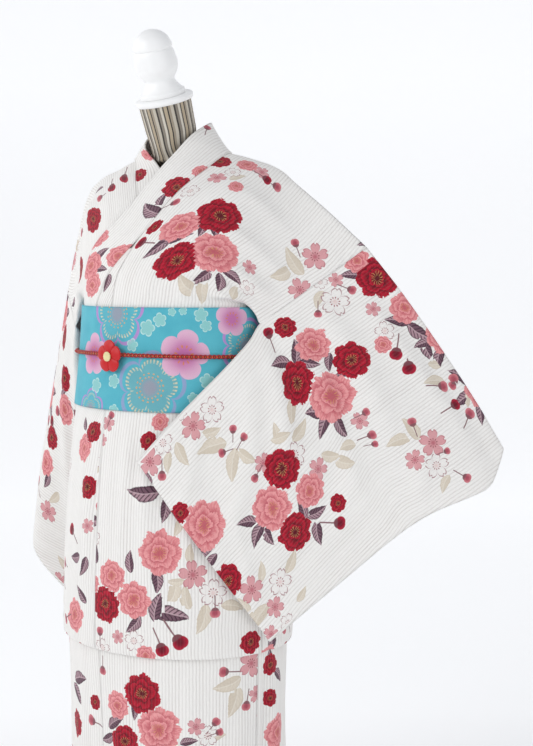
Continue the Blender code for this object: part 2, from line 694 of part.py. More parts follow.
def sleeve(name, side, front_seam, back_seam):
    """A bag folded along its top, sewn below, open at the wrist and along the body."""
    left = side > 0
    stations = 11
    down = ARM_STEPS + FREE_STEPS + 1
    top = path(LEFT_TOP if left else RIGHT_TOP, np.linspace(0, 1, stations))
    bottom = path(LEFT_BOTTOM if left else RIGHT_BOTTOM, np.linspace(0, 1, stations))
    layers = []
    tables = (
        (LEFT_FRONT_INNER, LEFT_FRONT_CUFF, LEFT_BACK_INNER, LEFT_BACK_CUFF)
        if left
        else (RIGHT_FRONT_INNER, RIGHT_FRONT_CUFF, RIGHT_BACK_INNER, RIGHT_BACK_CUFF)
    )
    for seam, inner_table, cuff_table, front in (
        (front_seam, tables[0], tables[1], True),
        (back_seam, tables[2], tables[3], False),
    ):
        held = plane_values(seam)
        free = path(inner_table, np.linspace(0.0, 1.0, FREE_STEPS + 2))[1:]
        inner = np.vstack([held, free])
        top[0] = held[0]
        cuff = path(cuff_table, np.linspace(0.0, 1.0, len(inner)))
        grid = patch(top, bottom, inner, cuff)
        p = np.linspace(0, 1, stations)[:, None]
        q = np.linspace(0, 1, len(inner))[None, :]
        swell = (0.013 if left else 0.012) * np.sin(q * math.pi) ** 0.7 * np.sin(p * math.pi) ** 0.8
        grid[..., 2] += swell if front else -swell
        layers.append(grid)
    front, back = layers
    near = body_face(front[..., 0], front[..., 1], 0.012, 1.0 if left else -1.0)
    free = np.linspace(0, 1, front.shape[1])[None, :] * np.ones((stations, 1)) > 0.40
    free = free | (np.linspace(0, 1, stations)[:, None] > 0.15)
    if left:
        reach = body_face(back[..., 0], back[..., 1], 0.0152, 1.0)
        back[..., 2] = np.where(free, np.maximum(back[..., 2], reach), back[..., 2])
        limit = np.maximum(near, back[..., 2]) + 0.004
        front[..., 2] = np.where(free, np.maximum(front[..., 2], limit), front[..., 2])
    else:
        reach = body_face(front[..., 0], front[..., 1], 0.0135, -1.0)
        front[..., 2] = np.where(free, np.minimum(front[..., 2], reach), front[..., 2])
        limit = np.minimum(reach, front[..., 2]) - 0.004
        back[..., 2] = np.where(free, np.minimum(back[..., 2], limit), back[..., 2])
    both = (front[:, -1] + back[:, -1]) / 2.0
    front[:, -1] = both
    ring = np.concatenate([front, back[:, -2:0:-1]], axis=1)
    grid = plane_point(ring)
    closed_rows = 7
    return add_sheet(name, grid, CLOTH, around_cols=True, closed_end=closed_rows)


def belt():
    """The half-width belt cloth, wound round the waist."""
    angles = np.arange(44) * (360.0 / 44)
    heights = [OBI_LOW, 1.015, 1.07, OBI_TOP - 0.001]
    degrees, height = np.meshgrid(angles, heights)
    grid = body(degrees, height, np.full(degrees.shape, 0.0034))
    return add_sheet("obi", grid, OBI, around_cols=True)


def bow_loop(name, side):
    """One wing of the bow at the back: belt cloth turned back on itself, open above and below."""
    low, high = 0.985, 1.105
    outline = []
    for step in range(22):
        turn = 2 * math.pi * step / 22.0
        reach = 0.5 - 0.5 * math.cos(turn)
        depth = 0.008 + 0.012 * math.sin(reach * math.pi) ** 0.8
        across = 0.0166 + 0.083 * reach
        outline.append((across, 0.163 + depth * math.sin(turn) * 0.9 - 0.012 * reach ** 2))
    grid = []
    for part in np.linspace(0.0, 1.0, 4):
        ring = []
        for x, y in outline:
            fan = 1.0 + 0.25 * (x - 0.017) / 0.083
            height = (low + high) / 2 + (part - 0.5) * (high - low) * fan - 0.10 * (x - 0.017)
            ring.append((side * x, y, height))
        grid.append(ring)
    return add_sheet(name, np.array(grid), OBI, around_cols=True)


def block(name, centre, size, bevel):
    """A soft-edged block, skinned over rings from its bottom to its top."""
    rings = []
    soft = bevel / size[2]
    for share, inset in ((-0.5, 1.0), (-0.5 + soft, 0.0), (0.5 - soft, 0.0), (0.5, 1.0)):
        ring = []
        for step in range(16):
            turn = 2 * math.pi * (step + 0.5) / 16.0
            cos, sin = math.cos(turn), math.sin(turn)
            x = math.copysign(abs(cos) ** 0.5, cos) * (size[0] / 2 - inset * bevel)
            y = math.copysign(abs(sin) ** 0.5, sin) * (size[1] / 2 - inset * bevel)
            ring.append((centre[0] + x, centre[1] + y, centre[2] + share * size[2]))
        rings.append(ring)
    return add_rings(name, rings)


def turned(name, base, axis_lean, profile, sides=20):
    """A turned solid: radius and height along an axis that leans forward."""
    axis = np.array([0.0, -math.sin(axis_lean), math.cos(axis_lean)])
    across = np.array([1.0, 0.0, 0.0])
    other = np.cross(axis, across)
    rings = []
    for radius, height in profile:
        turn = np.arange(sides) * 2 * math.pi / sides
        ring = np.array(base) + axis * height + radius * (
            np.cos(turn)[:, None] * across + np.sin(turn)[:, None] * other
        )
        rings.append(ring)
    return add_rings(name, rings)


def torso():
    """The padded limbless form with its neck, skinned over ellipses."""
    rings = []
    for height, wide, deep, middle in TORSO:
        turn = np.arange(28) * 2 * math.pi / 28
        lean = max(0.0, height - 1.33) / 0.12 * math.tan(LEAN)
        y = middle + deep * np.sin(turn)
        z = height - (y - middle) * min(lean, math.tan(LEAN)) * -1.0
        rings.append(np.stack([wide * np.cos(turn), y, z], axis=-1))
    return add_rings("form_torso", rings)


def flower():
    """The small clasp on the cord: five round petals about a raised middle."""
    angle = -5.5
    at = body(angle, 1.046, 0.0140)
    out = np.array([math.sin(math.radians(angle)), -math.cos(math.radians(angle)), 0.0])
    side = np.array([math.cos(math.radians(angle)), math.sin(math.radians(angle)), 0.0])
    up = np.array([0.0, 0.0, 1.0])

    def outline(scale, depth):
        ring = []
        for step in range(40):
            turn = 2 * math.pi * step / 40
            radius = scale * (0.0228 + 0.0034 * math.cos(5 * turn))
            flat = side * radius * math.sin(turn) + up * radius * math.cos(turn)
            ring.append(at + flat + out * depth)
        return ring

    rings = [outline(0.96, -0.0022), outline(1.0, 0.0), outline(0.97, 0.0022), outline(0.70, 0.0030)]
    add_rings("clasp_flower", rings)
    rings = []
    for scale, depth in ((0.30, 0.0034), (0.33, 0.0048), (0.26, 0.0062), (0.12, 0.0068)):
        ring = []
        for step in range(14):
            turn = 2 * math.pi * step / 14
            radius = 0.0228 * scale
            flat = side * radius * math.sin(turn) + up * radius * math.cos(turn)
            ring.append(at + flat + out * depth)
        rings.append(ring)
    add_rings("clasp_centre", rings)


def build():
    """Make every piece."""
    clear_scene()
    skirt("skirt_right_gore", -GORE_EDGE - 53.0, -GORE_EDGE, [SKIRT_UNDER, SKIRT_UNDER], 7)
    skirt("skirt_right_front", -SIDE, 17.0, [SKIRT_UNDER, SKIRT_UNDER], 11)
    skirt("skirt_right_back", 180.0, 360.0 - SIDE, [SKIRT_MIDDLE, SKIRT_UNDER], 11)
    skirt("skirt_left_back", SIDE, 180.0, [SKIRT_OVER, SKIRT_MIDDLE], 11)
    skirt("skirt_left_front", GORE_SEAM, SIDE, [SKIRT_OVER, SKIRT_OVER], 11)
    skirt("skirt_left_gore", GORE_EDGE, GORE_SEAM, [SKIRT_OVER, SKIRT_OVER], 7)
    for word, side in (("left", 1), ("right", -1)):
        front, back = body_panel("body_" + word, side)
        sleeve("sleeve_" + word, side, front, back)
    gore("gore_left", 1)
    gore("gore_right", -1)
    collar()
    belt()
    bow_loop("bow_left", 1)
    bow_loop("bow_right", -1)
    block("bow_knot", (0.0, 0.158, 1.045), (0.030, 0.026, 0.122), 0.006)
    cord = []
    for step in range(48):
        degrees = 7.5 * step
        cord.append(body(degrees, 1.046 + 0.003 * math.cos(math.radians(degrees)), 0.0084))
    add_loop("cord", cord, 0.0032)
    flower()
    torso()
    top = np.array([0.0, -0.036, 1.449])
    axis = np.array([0.0, -math.sin(LEAN), math.cos(LEAN)])
    turned("form_cap", top + axis * 0.0004, LEAN, CAP, 28)
    turned("form_finial", top + axis * 0.0108, LEAN, FINIAL, 24)
    turned("form_pole", (0.0, 0.0, 0.0245), 0.0, [(0.0125, 0.0), (0.0125, 0.6750)], 20)
    turned("form_base", (0.0, 0.0, 0.0), 0.0, FOOT, 40)


build()
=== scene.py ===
"""Looks of the cotton robe with its belt on a dress form: fine cloth, print, cord, form and stage.

Each cut and sewn piece is a thin shell on the form of its own solid. Metres, in the part's frame.
"""
import math
import random

import bpy
import numpy as np
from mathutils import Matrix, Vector


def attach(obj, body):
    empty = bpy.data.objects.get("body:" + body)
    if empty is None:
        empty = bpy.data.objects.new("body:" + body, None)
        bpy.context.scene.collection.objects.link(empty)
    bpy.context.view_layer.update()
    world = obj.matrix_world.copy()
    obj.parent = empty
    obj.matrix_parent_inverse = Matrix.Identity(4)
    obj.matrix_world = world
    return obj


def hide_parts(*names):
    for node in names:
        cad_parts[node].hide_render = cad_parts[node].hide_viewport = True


# Cloth: half thickness of one layer, of the doubled collar and of the belt cloth.
CLOTH = 0.00065
COLLAR = 0.0013
OBI = 0.0009
# The angle taken up by half the free space between two pieces along a seam of the body.
GAP = math.degrees(0.0003 / 0.17) * 0.6
# How far each wrapped layer lies inside the outermost one.
TUCK = -0.0026
UNDER = -0.0052
SKIRT_OVER = -0.0080
SKIRT_UNDER = -0.0108
SKIRT_MIDDLE = -0.0094
# Heights: hem, lower edge of the waist fold, belt from bottom to top.
HEM = 0.070
FOLD = 0.583
OBI_LOW = 0.962
OBI_TOP = 1.124
# Rows of the robe over its waist fold and under the belt.
OUTER_HEIGHTS = (0.62, 0.71, 0.80, 0.88)
BELT_HEIGHTS = (OBI_LOW, 1.00, 1.045, 1.09)
# Seams round the body in degrees from the front, towards the wearer's left.
SIDE = 80.0
GORE_SEAM = -11.0
GORE_EDGE = -70.0
# The lifted sleeve lies parallel to a plane that is turned this far from the front.
TURN = math.radians(35.0)
# Rows of the robe from its waist fold over the shoulder: how many along the armhole.
ARM_STEPS = 6
FREE_STEPS = 7
# Row of the armhole's lower end, and the place where a panel's outer edge lies.
ARM_LOW = 0.28
ARM_EDGE = 1.0 - 0.0006
# How far inside the panel's edge a sleeve begins.
ARM_OVERLAP = 0.0006
# Least distance between a sleeve's two layers where they pass the body.
LAYERS_APART = 0.004
UP = np.array([0.0, 0.0, 1.0])
# Stands for out of reach.
FAR = 9.0

# Outermost wrapped layer: height, half width, half depth, centre y.
BODY = [
    (0.07, 0.184, 0.152, -0.006), (0.25, 0.191, 0.158, -0.009), (0.45, 0.197, 0.164, -0.011),
    (0.60, 0.201, 0.168, -0.012), (0.75, 0.197, 0.164, -0.012), (0.88, 0.187, 0.155, -0.010),
    (0.962, 0.178, 0.147, -0.008), (1.05, 0.170, 0.139, -0.006), (1.124, 0.166, 0.135, -0.005),
]
# Shoulder fold from the middle to the armhole: place, x, y, z. Left is lifted, right falls.
SHOULDER_LEFT = [
    (0.0, 0.0, 0.0, 1.352), (0.3, 0.080, 0.012, 1.368), (0.45, 0.120, 0.033, 1.358),
    (0.6, 0.167, 0.045, 1.340), (0.72, 0.196, 0.053, 1.315), (0.85, 0.242, 0.067, 1.275),
    (1.0, 0.303, 0.090, 1.215),
]
SHOULDER_RIGHT = [
    (0.0, 0.0, 0.0, 1.352), (0.3, -0.080, 0.004, 1.366), (0.45, -0.125, 0.002, 1.350),
    (0.6, -0.165, 0.0, 1.336), (0.74, -0.200, 0.0, 1.308), (0.87, -0.224, 0.0, 1.240),
    (1.0, -0.256, 0.006, 1.140),
]
# Lower ends of the armhole seam, front and back.
ARM_LEFT_FRONT = (0.186, -0.034, 1.098)
ARM_LEFT_BACK = (0.196, 0.040, 1.106)
ARM_RIGHT_FRONT = (-0.196, -0.040, 1.085)
ARM_RIGHT_BACK = (-0.184, 0.072, 1.062)
# Collar on the left front: row from belt to neck, place of its outer edge across the chest.
COLLAR_EDGE = [
    (0.0, -0.355), (0.083, -0.232), (0.163, -0.127), (0.27, 0.055), (0.318, 0.135), (0.455, 0.252),
    (0.585, 0.330), (0.72, 0.373), (0.86, 0.368), (1.0, 0.335),
]
COLLAR_EDGE_RIGHT = [
    (0.0, -0.355), (0.15, -0.260), (0.30, -0.160), (0.45, -0.050), (0.60, 0.080), (0.70, 0.165),
    (0.78, 0.228), (0.90, 0.300), (1.0, 0.335),
]
# The same collar's upper edge where it lies on the chest: row of the outer edge, place, row.
COLLAR_INNER = [
    (0.0, -0.625, 0.020), (0.083, -0.510, 0.135), (0.163, -0.410, 0.225), (0.27, -0.262, 0.305),
    (0.318, -0.185, 0.350), (0.40, -0.090, 0.430), (0.455, -0.035, 0.490),
]
COLLAR_INNER_RIGHT = [
    (0.0, -0.625, 0.020), (0.15, -0.500, 0.200), (0.30, -0.360, 0.350), (0.45, -0.230, 0.510),
    (0.55, -0.150, 0.610),
]
COLLAR_STAND_RIGHT = [
    (0.60, 0.018, -0.066, 1.334), (0.68, 0.0095, -0.0605, 1.342), (0.76, -0.008, -0.056, 1.354),
    (0.85, -0.028, -0.050, 1.371), (0.93, -0.042, -0.034, 1.388), (1.0, -0.044, -0.010, 1.404),
    (1.08, -0.044, 0.016, 1.415), (1.16, -0.037, 0.036, 1.420), (1.23, -0.026, 0.052, 1.419),
    (1.28, -0.013, 0.062, 1.412), (1.30, 0.0, 0.066, 1.408),
]
# Where it stands up round the neck: row of the outer edge (over 1 at the back), x, y, z.
COLLAR_STAND = [
    (0.585, 0.020, -0.076, 1.339), (0.65, 0.027, -0.066, 1.351), (0.72, 0.033, -0.057, 1.362),
    (0.79, 0.038, -0.048, 1.373), (0.86, 0.043, -0.038, 1.385), (0.93, 0.045, -0.024, 1.396),
    (1.0, 0.046, -0.006, 1.406), (1.08, 0.044, 0.016, 1.415), (1.16, 0.037, 0.036, 1.420),
    (1.23, 0.026, 0.052, 1.419), (1.28, 0.013, 0.062, 1.412), (1.30, 0.0, 0.066, 1.408),
]
# Seam of the front gore above the belt, from belt upwards.
GORE_LEFT = [(0.0, -0.1375), (0.15, -0.050), (0.27, 0.080), (0.32, 0.120), (0.6, 0.2), (1.0, 0.3)]
GORE_RIGHT = [(0.0, -0.1375), (0.28, -0.145), (0.6, 0.0), (1.0, 0.3)]
# Roundness of the chest and back arch.
SHAPE = 1.02

# Sleeves: corners and edges as (across, height, towards the viewer's side of the sleeve plane).
LEFT_TOP = [(0.300, 1.215, 0.100), (0.359, 1.138, 0.108), (0.466, 0.981, 0.120), (0.512, 0.903, 0.130)]
LEFT_FRONT_INNER = [
    (0.138, 1.098, 0.135), (0.090, 1.043, 0.166), (0.062, 1.014, 0.172), (0.022, 0.974, 0.178),
    (-0.056, 0.889, 0.178),
]
LEFT_BACK_INNER = [
    (0.184, 1.106, 0.080), (0.104, 1.046, 0.135), (0.060, 1.010, 0.150), (0.016, 0.968, 0.158),
    (-0.056, 0.889, 0.166),
]
LEFT_BOTTOM = [(-0.056, 0.889, 0.172), (0.047, 0.750, 0.186), (0.148, 0.608, 0.176)]
LEFT_FRONT_CUFF = [
    (0.512, 0.903, 0.130), (0.488, 0.848, 0.160), (0.429, 0.822, 0.172), (0.378, 0.797, 0.172),
    (0.264, 0.704, 0.172), (0.148, 0.608, 0.176),
]
LEFT_BACK_CUFF = [
    (0.512, 0.903, 0.130), (0.494, 0.862, 0.112), (0.440, 0.836, 0.118), (0.378, 0.797, 0.150),
    (0.264, 0.704, 0.160), (0.148, 0.608, 0.176),
]
RIGHT_TOP = [
    (-0.206, 1.140, -0.152), (-0.246, 0.946, -0.200), (-0.270, 0.830, -0.228), (-0.284, 0.730, -0.248),
]
RIGHT_FRONT_INNER = [
    (-0.184, 1.085, -0.080), (-0.150, 1.030, -0.130), (-0.060, 0.930, -0.176), (0.0, 0.840, -0.196),
    (0.030, 0.750, -0.206),
]
RIGHT_BACK_INNER = [
    (-0.109, 1.062, -0.165), (-0.095, 1.020, -0.180), (-0.050, 0.930, -0.204), (0.004, 0.840, -0.214),
    (0.030, 0.750, -0.206),
]
RIGHT_BOTTOM = [(0.030, 0.750, -0.206), (0.012, 0.580, -0.236), (-0.020, 0.420, -0.240)]
RIGHT_FRONT_CUFF = [
    (-0.284, 0.730, -0.248), (-0.286, 0.672, -0.226), (-0.250, 0.618, -0.224), (-0.190, 0.560, -0.232),
    (-0.090, 0.480, -0.236), (-0.020, 0.420, -0.240),
]
RIGHT_BACK_CUFF = [
    (-0.284, 0.730, -0.248), (-0.276, 0.668, -0.284), (-0.240, 0.618, -0.276), (-0.190, 0.560, -0.254),
    (-0.090, 0.480, -0.250), (-0.020, 0.420, -0.240),
]

# Turned parts of the dress form: radius, height.
CAP = [(0.0455, 0.0), (0.0470, 0.002), (0.0470, 0.008), (0.0445, 0.010)]
FINIAL = [
    (0.0360, 0.0), (0.0360, 0.007), (0.0330, 0.009), (0.0270, 0.017), (0.0238, 0.023),
    (0.0245, 0.027), (0.0290, 0.033), (0.0335, 0.042), (0.0345, 0.051), (0.0332, 0.062),
    (0.0308, 0.0715), (0.0296, 0.073), (0.0314, 0.0755), (0.0300, 0.084), (0.0250, 0.094),
    (0.0160, 0.1015), (0.0060, 0.1055),
]
FOOT = [
    (0.178, 0.0), (0.181, 0.003), (0.181, 0.012), (0.176, 0.017), (0.050, 0.0235), (0.030, 0.0242),
]

# Dress form: height, half width, half depth, centre y.
TORSO = [
    (0.700, 0.128, 0.100, 0.0), (0.712, 0.144, 0.114, 0.0), (0.80, 0.150, 0.120, 0.0),
    (0.90, 0.150, 0.120, 0.0), (1.00, 0.142, 0.112, 0.0), (1.08, 0.140, 0.110, 0.0),
    (1.17, 0.146, 0.112, 0.0), (1.25, 0.152, 0.096, 0.0), (1.301, 0.152, 0.064, 0.008),
    (1.331, 0.140, 0.038, 0.012), (1.348, 0.116, 0.030, 0.012), (1.353, 0.080, 0.034, 0.008),
    (1.3565, 0.053, 0.040, 0.0), (1.365, 0.041, 0.039, -0.006),
    (1.41, 0.0405, 0.0405, -0.022), (1.449, 0.0415, 0.0415, -0.036),
]
LEAN = math.radians(20.0)


def ease(value):
    """A smooth step from 0 to 1."""
    value = np.clip(value, 0.0, 1.0)
    return value * value * (3.0 - 2.0 * value)


def follow(rows, at):
    """A smooth curve through a table: the first column is the place, the others the values."""
    table = np.array(rows, dtype=float)
    places = table[:, 0]
    values = table[:, 1:]
    gaps = np.diff(places)[:, None]
    rises = np.diff(values, axis=0) / gaps
    slopes = np.vstack([rises[:1], (rises[1:] + rises[:-1]) / 2.0, rises[-1:]])
    at = np.clip(np.asarray(at, dtype=float), places[0], places[-1])
    index = np.clip(np.searchsorted(places, at, side="right") - 1, 0, len(places) - 2)
    width = gaps[index, 0]
    part = ((at - places[index]) / width)[..., None]
    width = width[..., None]
    square = part * part
    cube = square * part
    return (
        (2 * cube - 3 * square + 1) * values[index]
        + (cube - 2 * square + part) * width * slopes[index]
        + (3 * square - 2 * cube) * values[index + 1]
        + (cube - square) * width * slopes[index + 1]
    )


def path(points, at):
    """A smooth curve through points, with places in proportion to the distance between them."""
    points = np.array(points, dtype=float)
    steps = np.linalg.norm(np.diff(points, axis=0), axis=1)
    places = np.concatenate([[0.0], np.cumsum(steps)]) / steps.sum()
    return follow(np.column_stack([places, points]), at)


def body(degrees, height, extra=0.0):
    """A point on the wrapped body at an angle from the front, moved out by extra."""
    wide, deep, middle = np.moveaxis(follow(BODY, height), -1, 0)
    angle = np.radians(degrees)
    wide = wide + extra
    deep = deep + extra
    reach = 1.0 / np.sqrt((np.sin(angle) / wide) ** 2 + (np.cos(angle) / deep) ** 2)
    across = reach * np.sin(angle)
    return np.stack([across, middle - reach * np.cos(angle), height + 0.0 * reach], axis=-1)


def chest(place, row):
    """The robe above the belt. place runs from -1 (right armhole) to 1 (left armhole); row runs from
    0 (belt, front) over 1 (shoulder) to 2 (belt, back)."""
    place, row = np.broadcast_arrays(np.asarray(place, dtype=float), np.asarray(row, dtype=float))
    size = np.abs(place)
    left = place >= 0
    back = row > 1.0
    rise = np.where(back, 2.0 - row, row)
    top = np.where(left[..., None], follow(SHOULDER_LEFT, size), follow(SHOULDER_RIGHT, size))
    side = np.where(left, 1.0, -1.0)
    angle = np.where(back, 180.0 - SIDE * size, SIDE * size) * side
    foot = body(angle, OBI_TOP)
    turn = rise * math.pi / 2.0
    up = np.sin(turn) ** SHAPE
    over = 1.0 - np.clip(np.cos(turn), 0.0, 1.0) ** SHAPE
    bust = 0.010 * np.sin(np.clip(rise / 0.8, 0, 1) * math.pi) * np.where(back, 0.6, 1.0)
    turn_out = np.radians(angle)
    out = np.stack([np.sin(turn_out), -np.cos(turn_out), np.zeros(angle.shape)], axis=-1)
    arch = np.stack(
        [
            foot[..., 0] + (top[..., 0] - foot[..., 0]) * rise ** 1.3,
            foot[..., 1] + (top[..., 1] - foot[..., 1]) * over,
            foot[..., 2] + (top[..., 2] - foot[..., 2]) * up,
        ],
        axis=-1,
    ) + out * bust[..., None]
    low = np.where(
        left[..., None],
        np.where(back[..., None], ARM_LEFT_BACK, ARM_LEFT_FRONT),
        np.where(back[..., None], ARM_RIGHT_BACK, ARM_RIGHT_FRONT),
    )
    share = (rise[..., None] - ARM_LOW) / (1.0 - ARM_LOW)
    seam = low + (top - low) * np.clip(share, 0, 1)
    # Below the armhole the slack cloth rises over the belt's edge and hangs out in front of it.
    hook = ease(rise / ARM_LOW)[..., None]
    belt_edge = foot + (low - foot) * hook * hook + UP * 0.015 * np.sin(hook * math.pi)
    edge = np.where(share < 0, belt_edge, seam)
    mix = ease((size - 0.52) / 0.48)[..., None]
    return arch * (1.0 - mix) + edge * mix


def normals_of(grid, around_cols=False):
    """Unit normals of a grid of points, from evenly weighted directions to the neighbours."""
    def direction(axis, closed):
        ahead = np.roll(grid, -1, axis=axis) - grid
        behind = grid - np.roll(grid, 1, axis=axis)
        ahead /= np.maximum(np.linalg.norm(ahead, axis=-1, keepdims=True), 1e-12)
        behind /= np.maximum(np.linalg.norm(behind, axis=-1, keepdims=True), 1e-12)
        if not closed:
            first = [slice(None)] * 3
            last = [slice(None)] * 3
            first[axis] = 0
            last[axis] = -1
            behind[tuple(first)] = ahead[tuple(first)]
            ahead[tuple(last)] = behind[tuple(last)]
        return ahead + behind

    normal = np.cross(direction(1, around_cols), direction(0, False))
    return normal / np.maximum(np.linalg.norm(normal, axis=-1, keepdims=True), 1e-12)


def facing(normals, outward):
    """The normals, all turned round if together they point against the given directions."""
    return -normals if np.einsum("ijk,ijk->", normals, outward) < 0 else normals


def skirt(name, first, last, offsets, columns):
    """One stretch of the skirt between two seams, from the hem up to under the belt."""
    angles = np.linspace(first + GAP, last - GAP, columns)
    offset = np.interp(angles, np.linspace(first, last, len(offsets)), offsets)
    degrees, height = np.meshgrid(angles, [HEM, 0.19, 0.32, 0.45, 0.58, 0.71, 0.82, 0.90, 0.98])
    add_sheet(name, body(degrees, height, offset), CLOTH)


def fold_rows(low_offset, high_offset):
    """Heights and offsets of the turned lower edge of the waist fold."""
    middle = (low_offset + high_offset) / 2.0
    radius = (high_offset - low_offset) / 2.0
    turns = [math.pi * step / 4.0 for step in range(5)]
    return [(FOLD + radius - radius * math.sin(turn), middle - radius * math.cos(turn)) for turn in turns]


def waist_rows(heights, folded):
    """Heights and offsets up the waist; a folded layer comes down inside and round its fold first."""
    if not folded:
        return [(height, UNDER) for height in heights]
    inside = [(height, TUCK) for height in (0.93, 0.82, 0.71, 0.62)]
    return inside + fold_rows(TUCK, 0.0) + [(height, 0.0) for height in heights]


def side_angle(height, back):
    """Where a panel's outer edge lies round the body: the back reaches the seam below the belt."""
    drop = ease((OBI_TOP - height) / (OBI_TOP - OBI_LOW))
    return (180.0 - SIDE) * (1.0 - drop) + SIDE * drop if back else SIDE


def collar_edge(side, row):
    """Place of the collar's outer edge across the chest."""
    return follow(COLLAR_EDGE if side > 0 else COLLAR_EDGE_RIGHT, row)[0]


def gore_seam(side, row):
    """Place of the seam between the front panel and its gore above the belt."""
    return follow(GORE_LEFT if side > 0 else GORE_RIGHT, row)[0]


def neckline(row):
    """Place of the neck seam across the back; 0 below the neck, where the centre seam runs."""
    share = min((row - 1.0) / 0.30, 1.0)
    return 0.335 * math.sqrt(1.0 - share * share)


def arm_rows():
    """Rows from the belt to the shoulder; the last ARM_STEPS + 1 lie on the armhole seam."""
    return [0.07, 0.14, 0.21] + list(np.linspace(ARM_LOW, 1.0, ARM_STEPS + 1))


def back_rows():
    """Rows from just behind the shoulder down to the belt, closer together at the neck seam."""
    return sorted([2.0 - row for row in [0.0] + arm_rows()[:-1]] + [1.18, 1.285, 1.303])


def body_panel(name, side):
    """One long panel: up the front from inside the waist fold, over the shoulder and down the back."""
    left = side > 0
    shares = np.linspace(0.0, 1.0, 10)
    ahead = waist_rows(OUTER_HEIGHTS + BELT_HEIGHTS, left)
    rows = [("ring", height, offset, False) for height, offset in ahead]
    rows += [("chest", row, 0.0, False) for row in [0.0] + arm_rows()]
    rows += [("chest", row, 0.0, True) for row in back_rows()]
    behind = reversed(waist_rows(OUTER_HEIGHTS + BELT_HEIGHTS, True))
    rows += [("ring", height, offset, True) for height, offset in behind]
    grid = []
    push = []
    for kind, value, offset, back in rows:
        pushed = np.zeros(len(shares))
        if kind == "ring":
            outer = side_angle(value, back) + (GAP if back else -GAP)
            inner = 180.0 - GAP if back else GORE_SEAM + GAP
            angles = inner + (outer - inner) * shares
            extra = np.full(angles.shape, offset)
            drop = ease((OBI_TOP - value) / 0.10)
            if not left and back:
                extra = extra + UNDER * ((1.0 - ease((angles - SIDE) / 22.0)) * drop)
            elif not left:
                extra = extra * (1.0 - ease((angles - 53.0) / 22.0) * (1.0 - drop))
            grid.append(body(angles * side, value, extra))
        else:
            inner = neckline(value) if back else max(collar_edge(side, value), gore_seam(side, value))
            inner = inner + 0.0030
            places = inner + (ARM_EDGE - inner) * shares
            grid.append(chest(places * side, value))
            if not left:
                fade = 1.0 - ease((value - 0.72) / 0.35)
                pushed = UNDER * fade * (1.0 - ease((places - 0.66) / 0.28))
        push.append(pushed)
    grid = np.array(grid)
    normals = normals_of(grid)
    near = slice(len(rows) // 3 - 2, len(rows) // 3 + 2)
    if np.einsum("ijk,ijk->", normals[near], (grid - UP * grid[..., 2:3])[near]) < 0:
        normals = -normals
    grid = grid + normals * np.array(push)[..., None]
    add_sheet(name, grid, CLOTH)
    step = grid[:, -1] - grid[:, -2]
    edge = grid[:, -1] - step / np.linalg.norm(step, axis=1, keepdims=True) * ARM_OVERLAP

    def found(values):
        return [index for index, row in enumerate(rows) if row[0] == "chest" and row[1] in values]

    wanted = arm_rows()[-ARM_STEPS - 1:]
    front = found(wanted)
    return edge[front[::-1]], edge[[front[-1]] + found([2.0 - row for row in wanted[:-1]])]


def gore(name, side):
    """The narrow front gore between the front panel and the edge of the wrap, above the skirt."""
    left = side > 0
    shares = np.linspace(0.0, 1.0, 7)
    grid = []
    low_edge = GORE_EDGE if left else -44.0
    for height, offset in waist_rows(OUTER_HEIGHTS + (0.93,) + BELT_HEIGHTS, left):
        seam = GORE_SEAM - GAP
        edge = low_edge + (-28.0 - low_edge) * ease((height - 0.93) / 0.15)
        grid.append(body((edge + (seam - edge) * shares) * side, height, offset))
    for row in (0.0, 0.05, 0.10, 0.15, 0.21, 0.26):
        seam = gore_seam(side, row) - 0.0016
        edge = min(collar_edge(side, row) + 0.0024, seam - 0.003)
        grid.append(chest((edge + (seam - edge) * shares) * side, row))
    grid = np.array(grid)
    if not left:
        normals = normals_of(grid)
        if normals[-2, 3, 1] > 0:
            normals = -normals
        grid[-6:] += normals[-6:] * UNDER
    add_sheet(name, grid, CLOTH)


def collar_row(side, row):
    """Points across the collar from its sewn edge to its free edge, at one row of its seam."""
    shares = np.concatenate([[0.0], np.linspace(0.09, 1.0, 5)])
    left = side > 0
    behind = row > 1.2999
    if row <= 1.0:
        place = collar_edge(side, row) + 0.0060
    else:
        place = 0.0 if behind else max(neckline(row) + 0.0040, 0.0)
    sewn = chest(side * place, row - (0.003 if behind else 0.0))
    free = follow(COLLAR_STAND if left else COLLAR_STAND_RIGHT, row)
    standing = sewn + (free - sewn) * shares[:, None]
    standing[:, 2] += 0.003 * np.sin(shares * math.pi)
    if row >= 0.60:
        return standing
    on_place, on_row = follow(COLLAR_INNER if left else COLLAR_INNER_RIGHT, row)
    lying = chest(side * (place + (on_place - place) * shares), row + (on_row - row) * shares)
    share = ease((row - 0.40) / 0.20)
    return lying * (1.0 - share) + standing * share


def collar():
    """The doubled neck band: from under the right front, round the neck, down across the chest."""
    lying = [0.14, 0.21, 0.28, 0.40, 0.52]
    stand = [0.64, 0.70, 0.76, 0.82, 0.88, 0.94, 1.0, 1.06, 1.12, 1.18, 1.24, 1.285]
    down = [1.30] + stand[::-1] + [0.52, 0.40, 0.34, 0.28, 0.21, 0.14, 0.07, 0.0]
    grid = [collar_row(-1, row) for row in lying + stand] + [collar_row(1, row) for row in down]
    shares = np.linspace(0.0, 1.0, 6)
    grid.append(body(-29.0 - 21.0 * shares, 1.097 + 0.010 * shares, -0.0008))
    grid = np.array(grid)
    normals = normals_of(grid)
    if normals[-3, 3, 1] > 0:
        normals = -normals
    sink = np.zeros(len(grid))
    sink[:9] = (UNDER - 0.0012) * np.array([1.0] * len(lying) + [0.95, 0.8, 0.6, 0.3])
    lift = 0.0016 * (1.0 - ease(shares / 0.35))
    add_sheet("collar", grid + normals * (sink[:, None, None] + lift[None, :, None]), COLLAR)


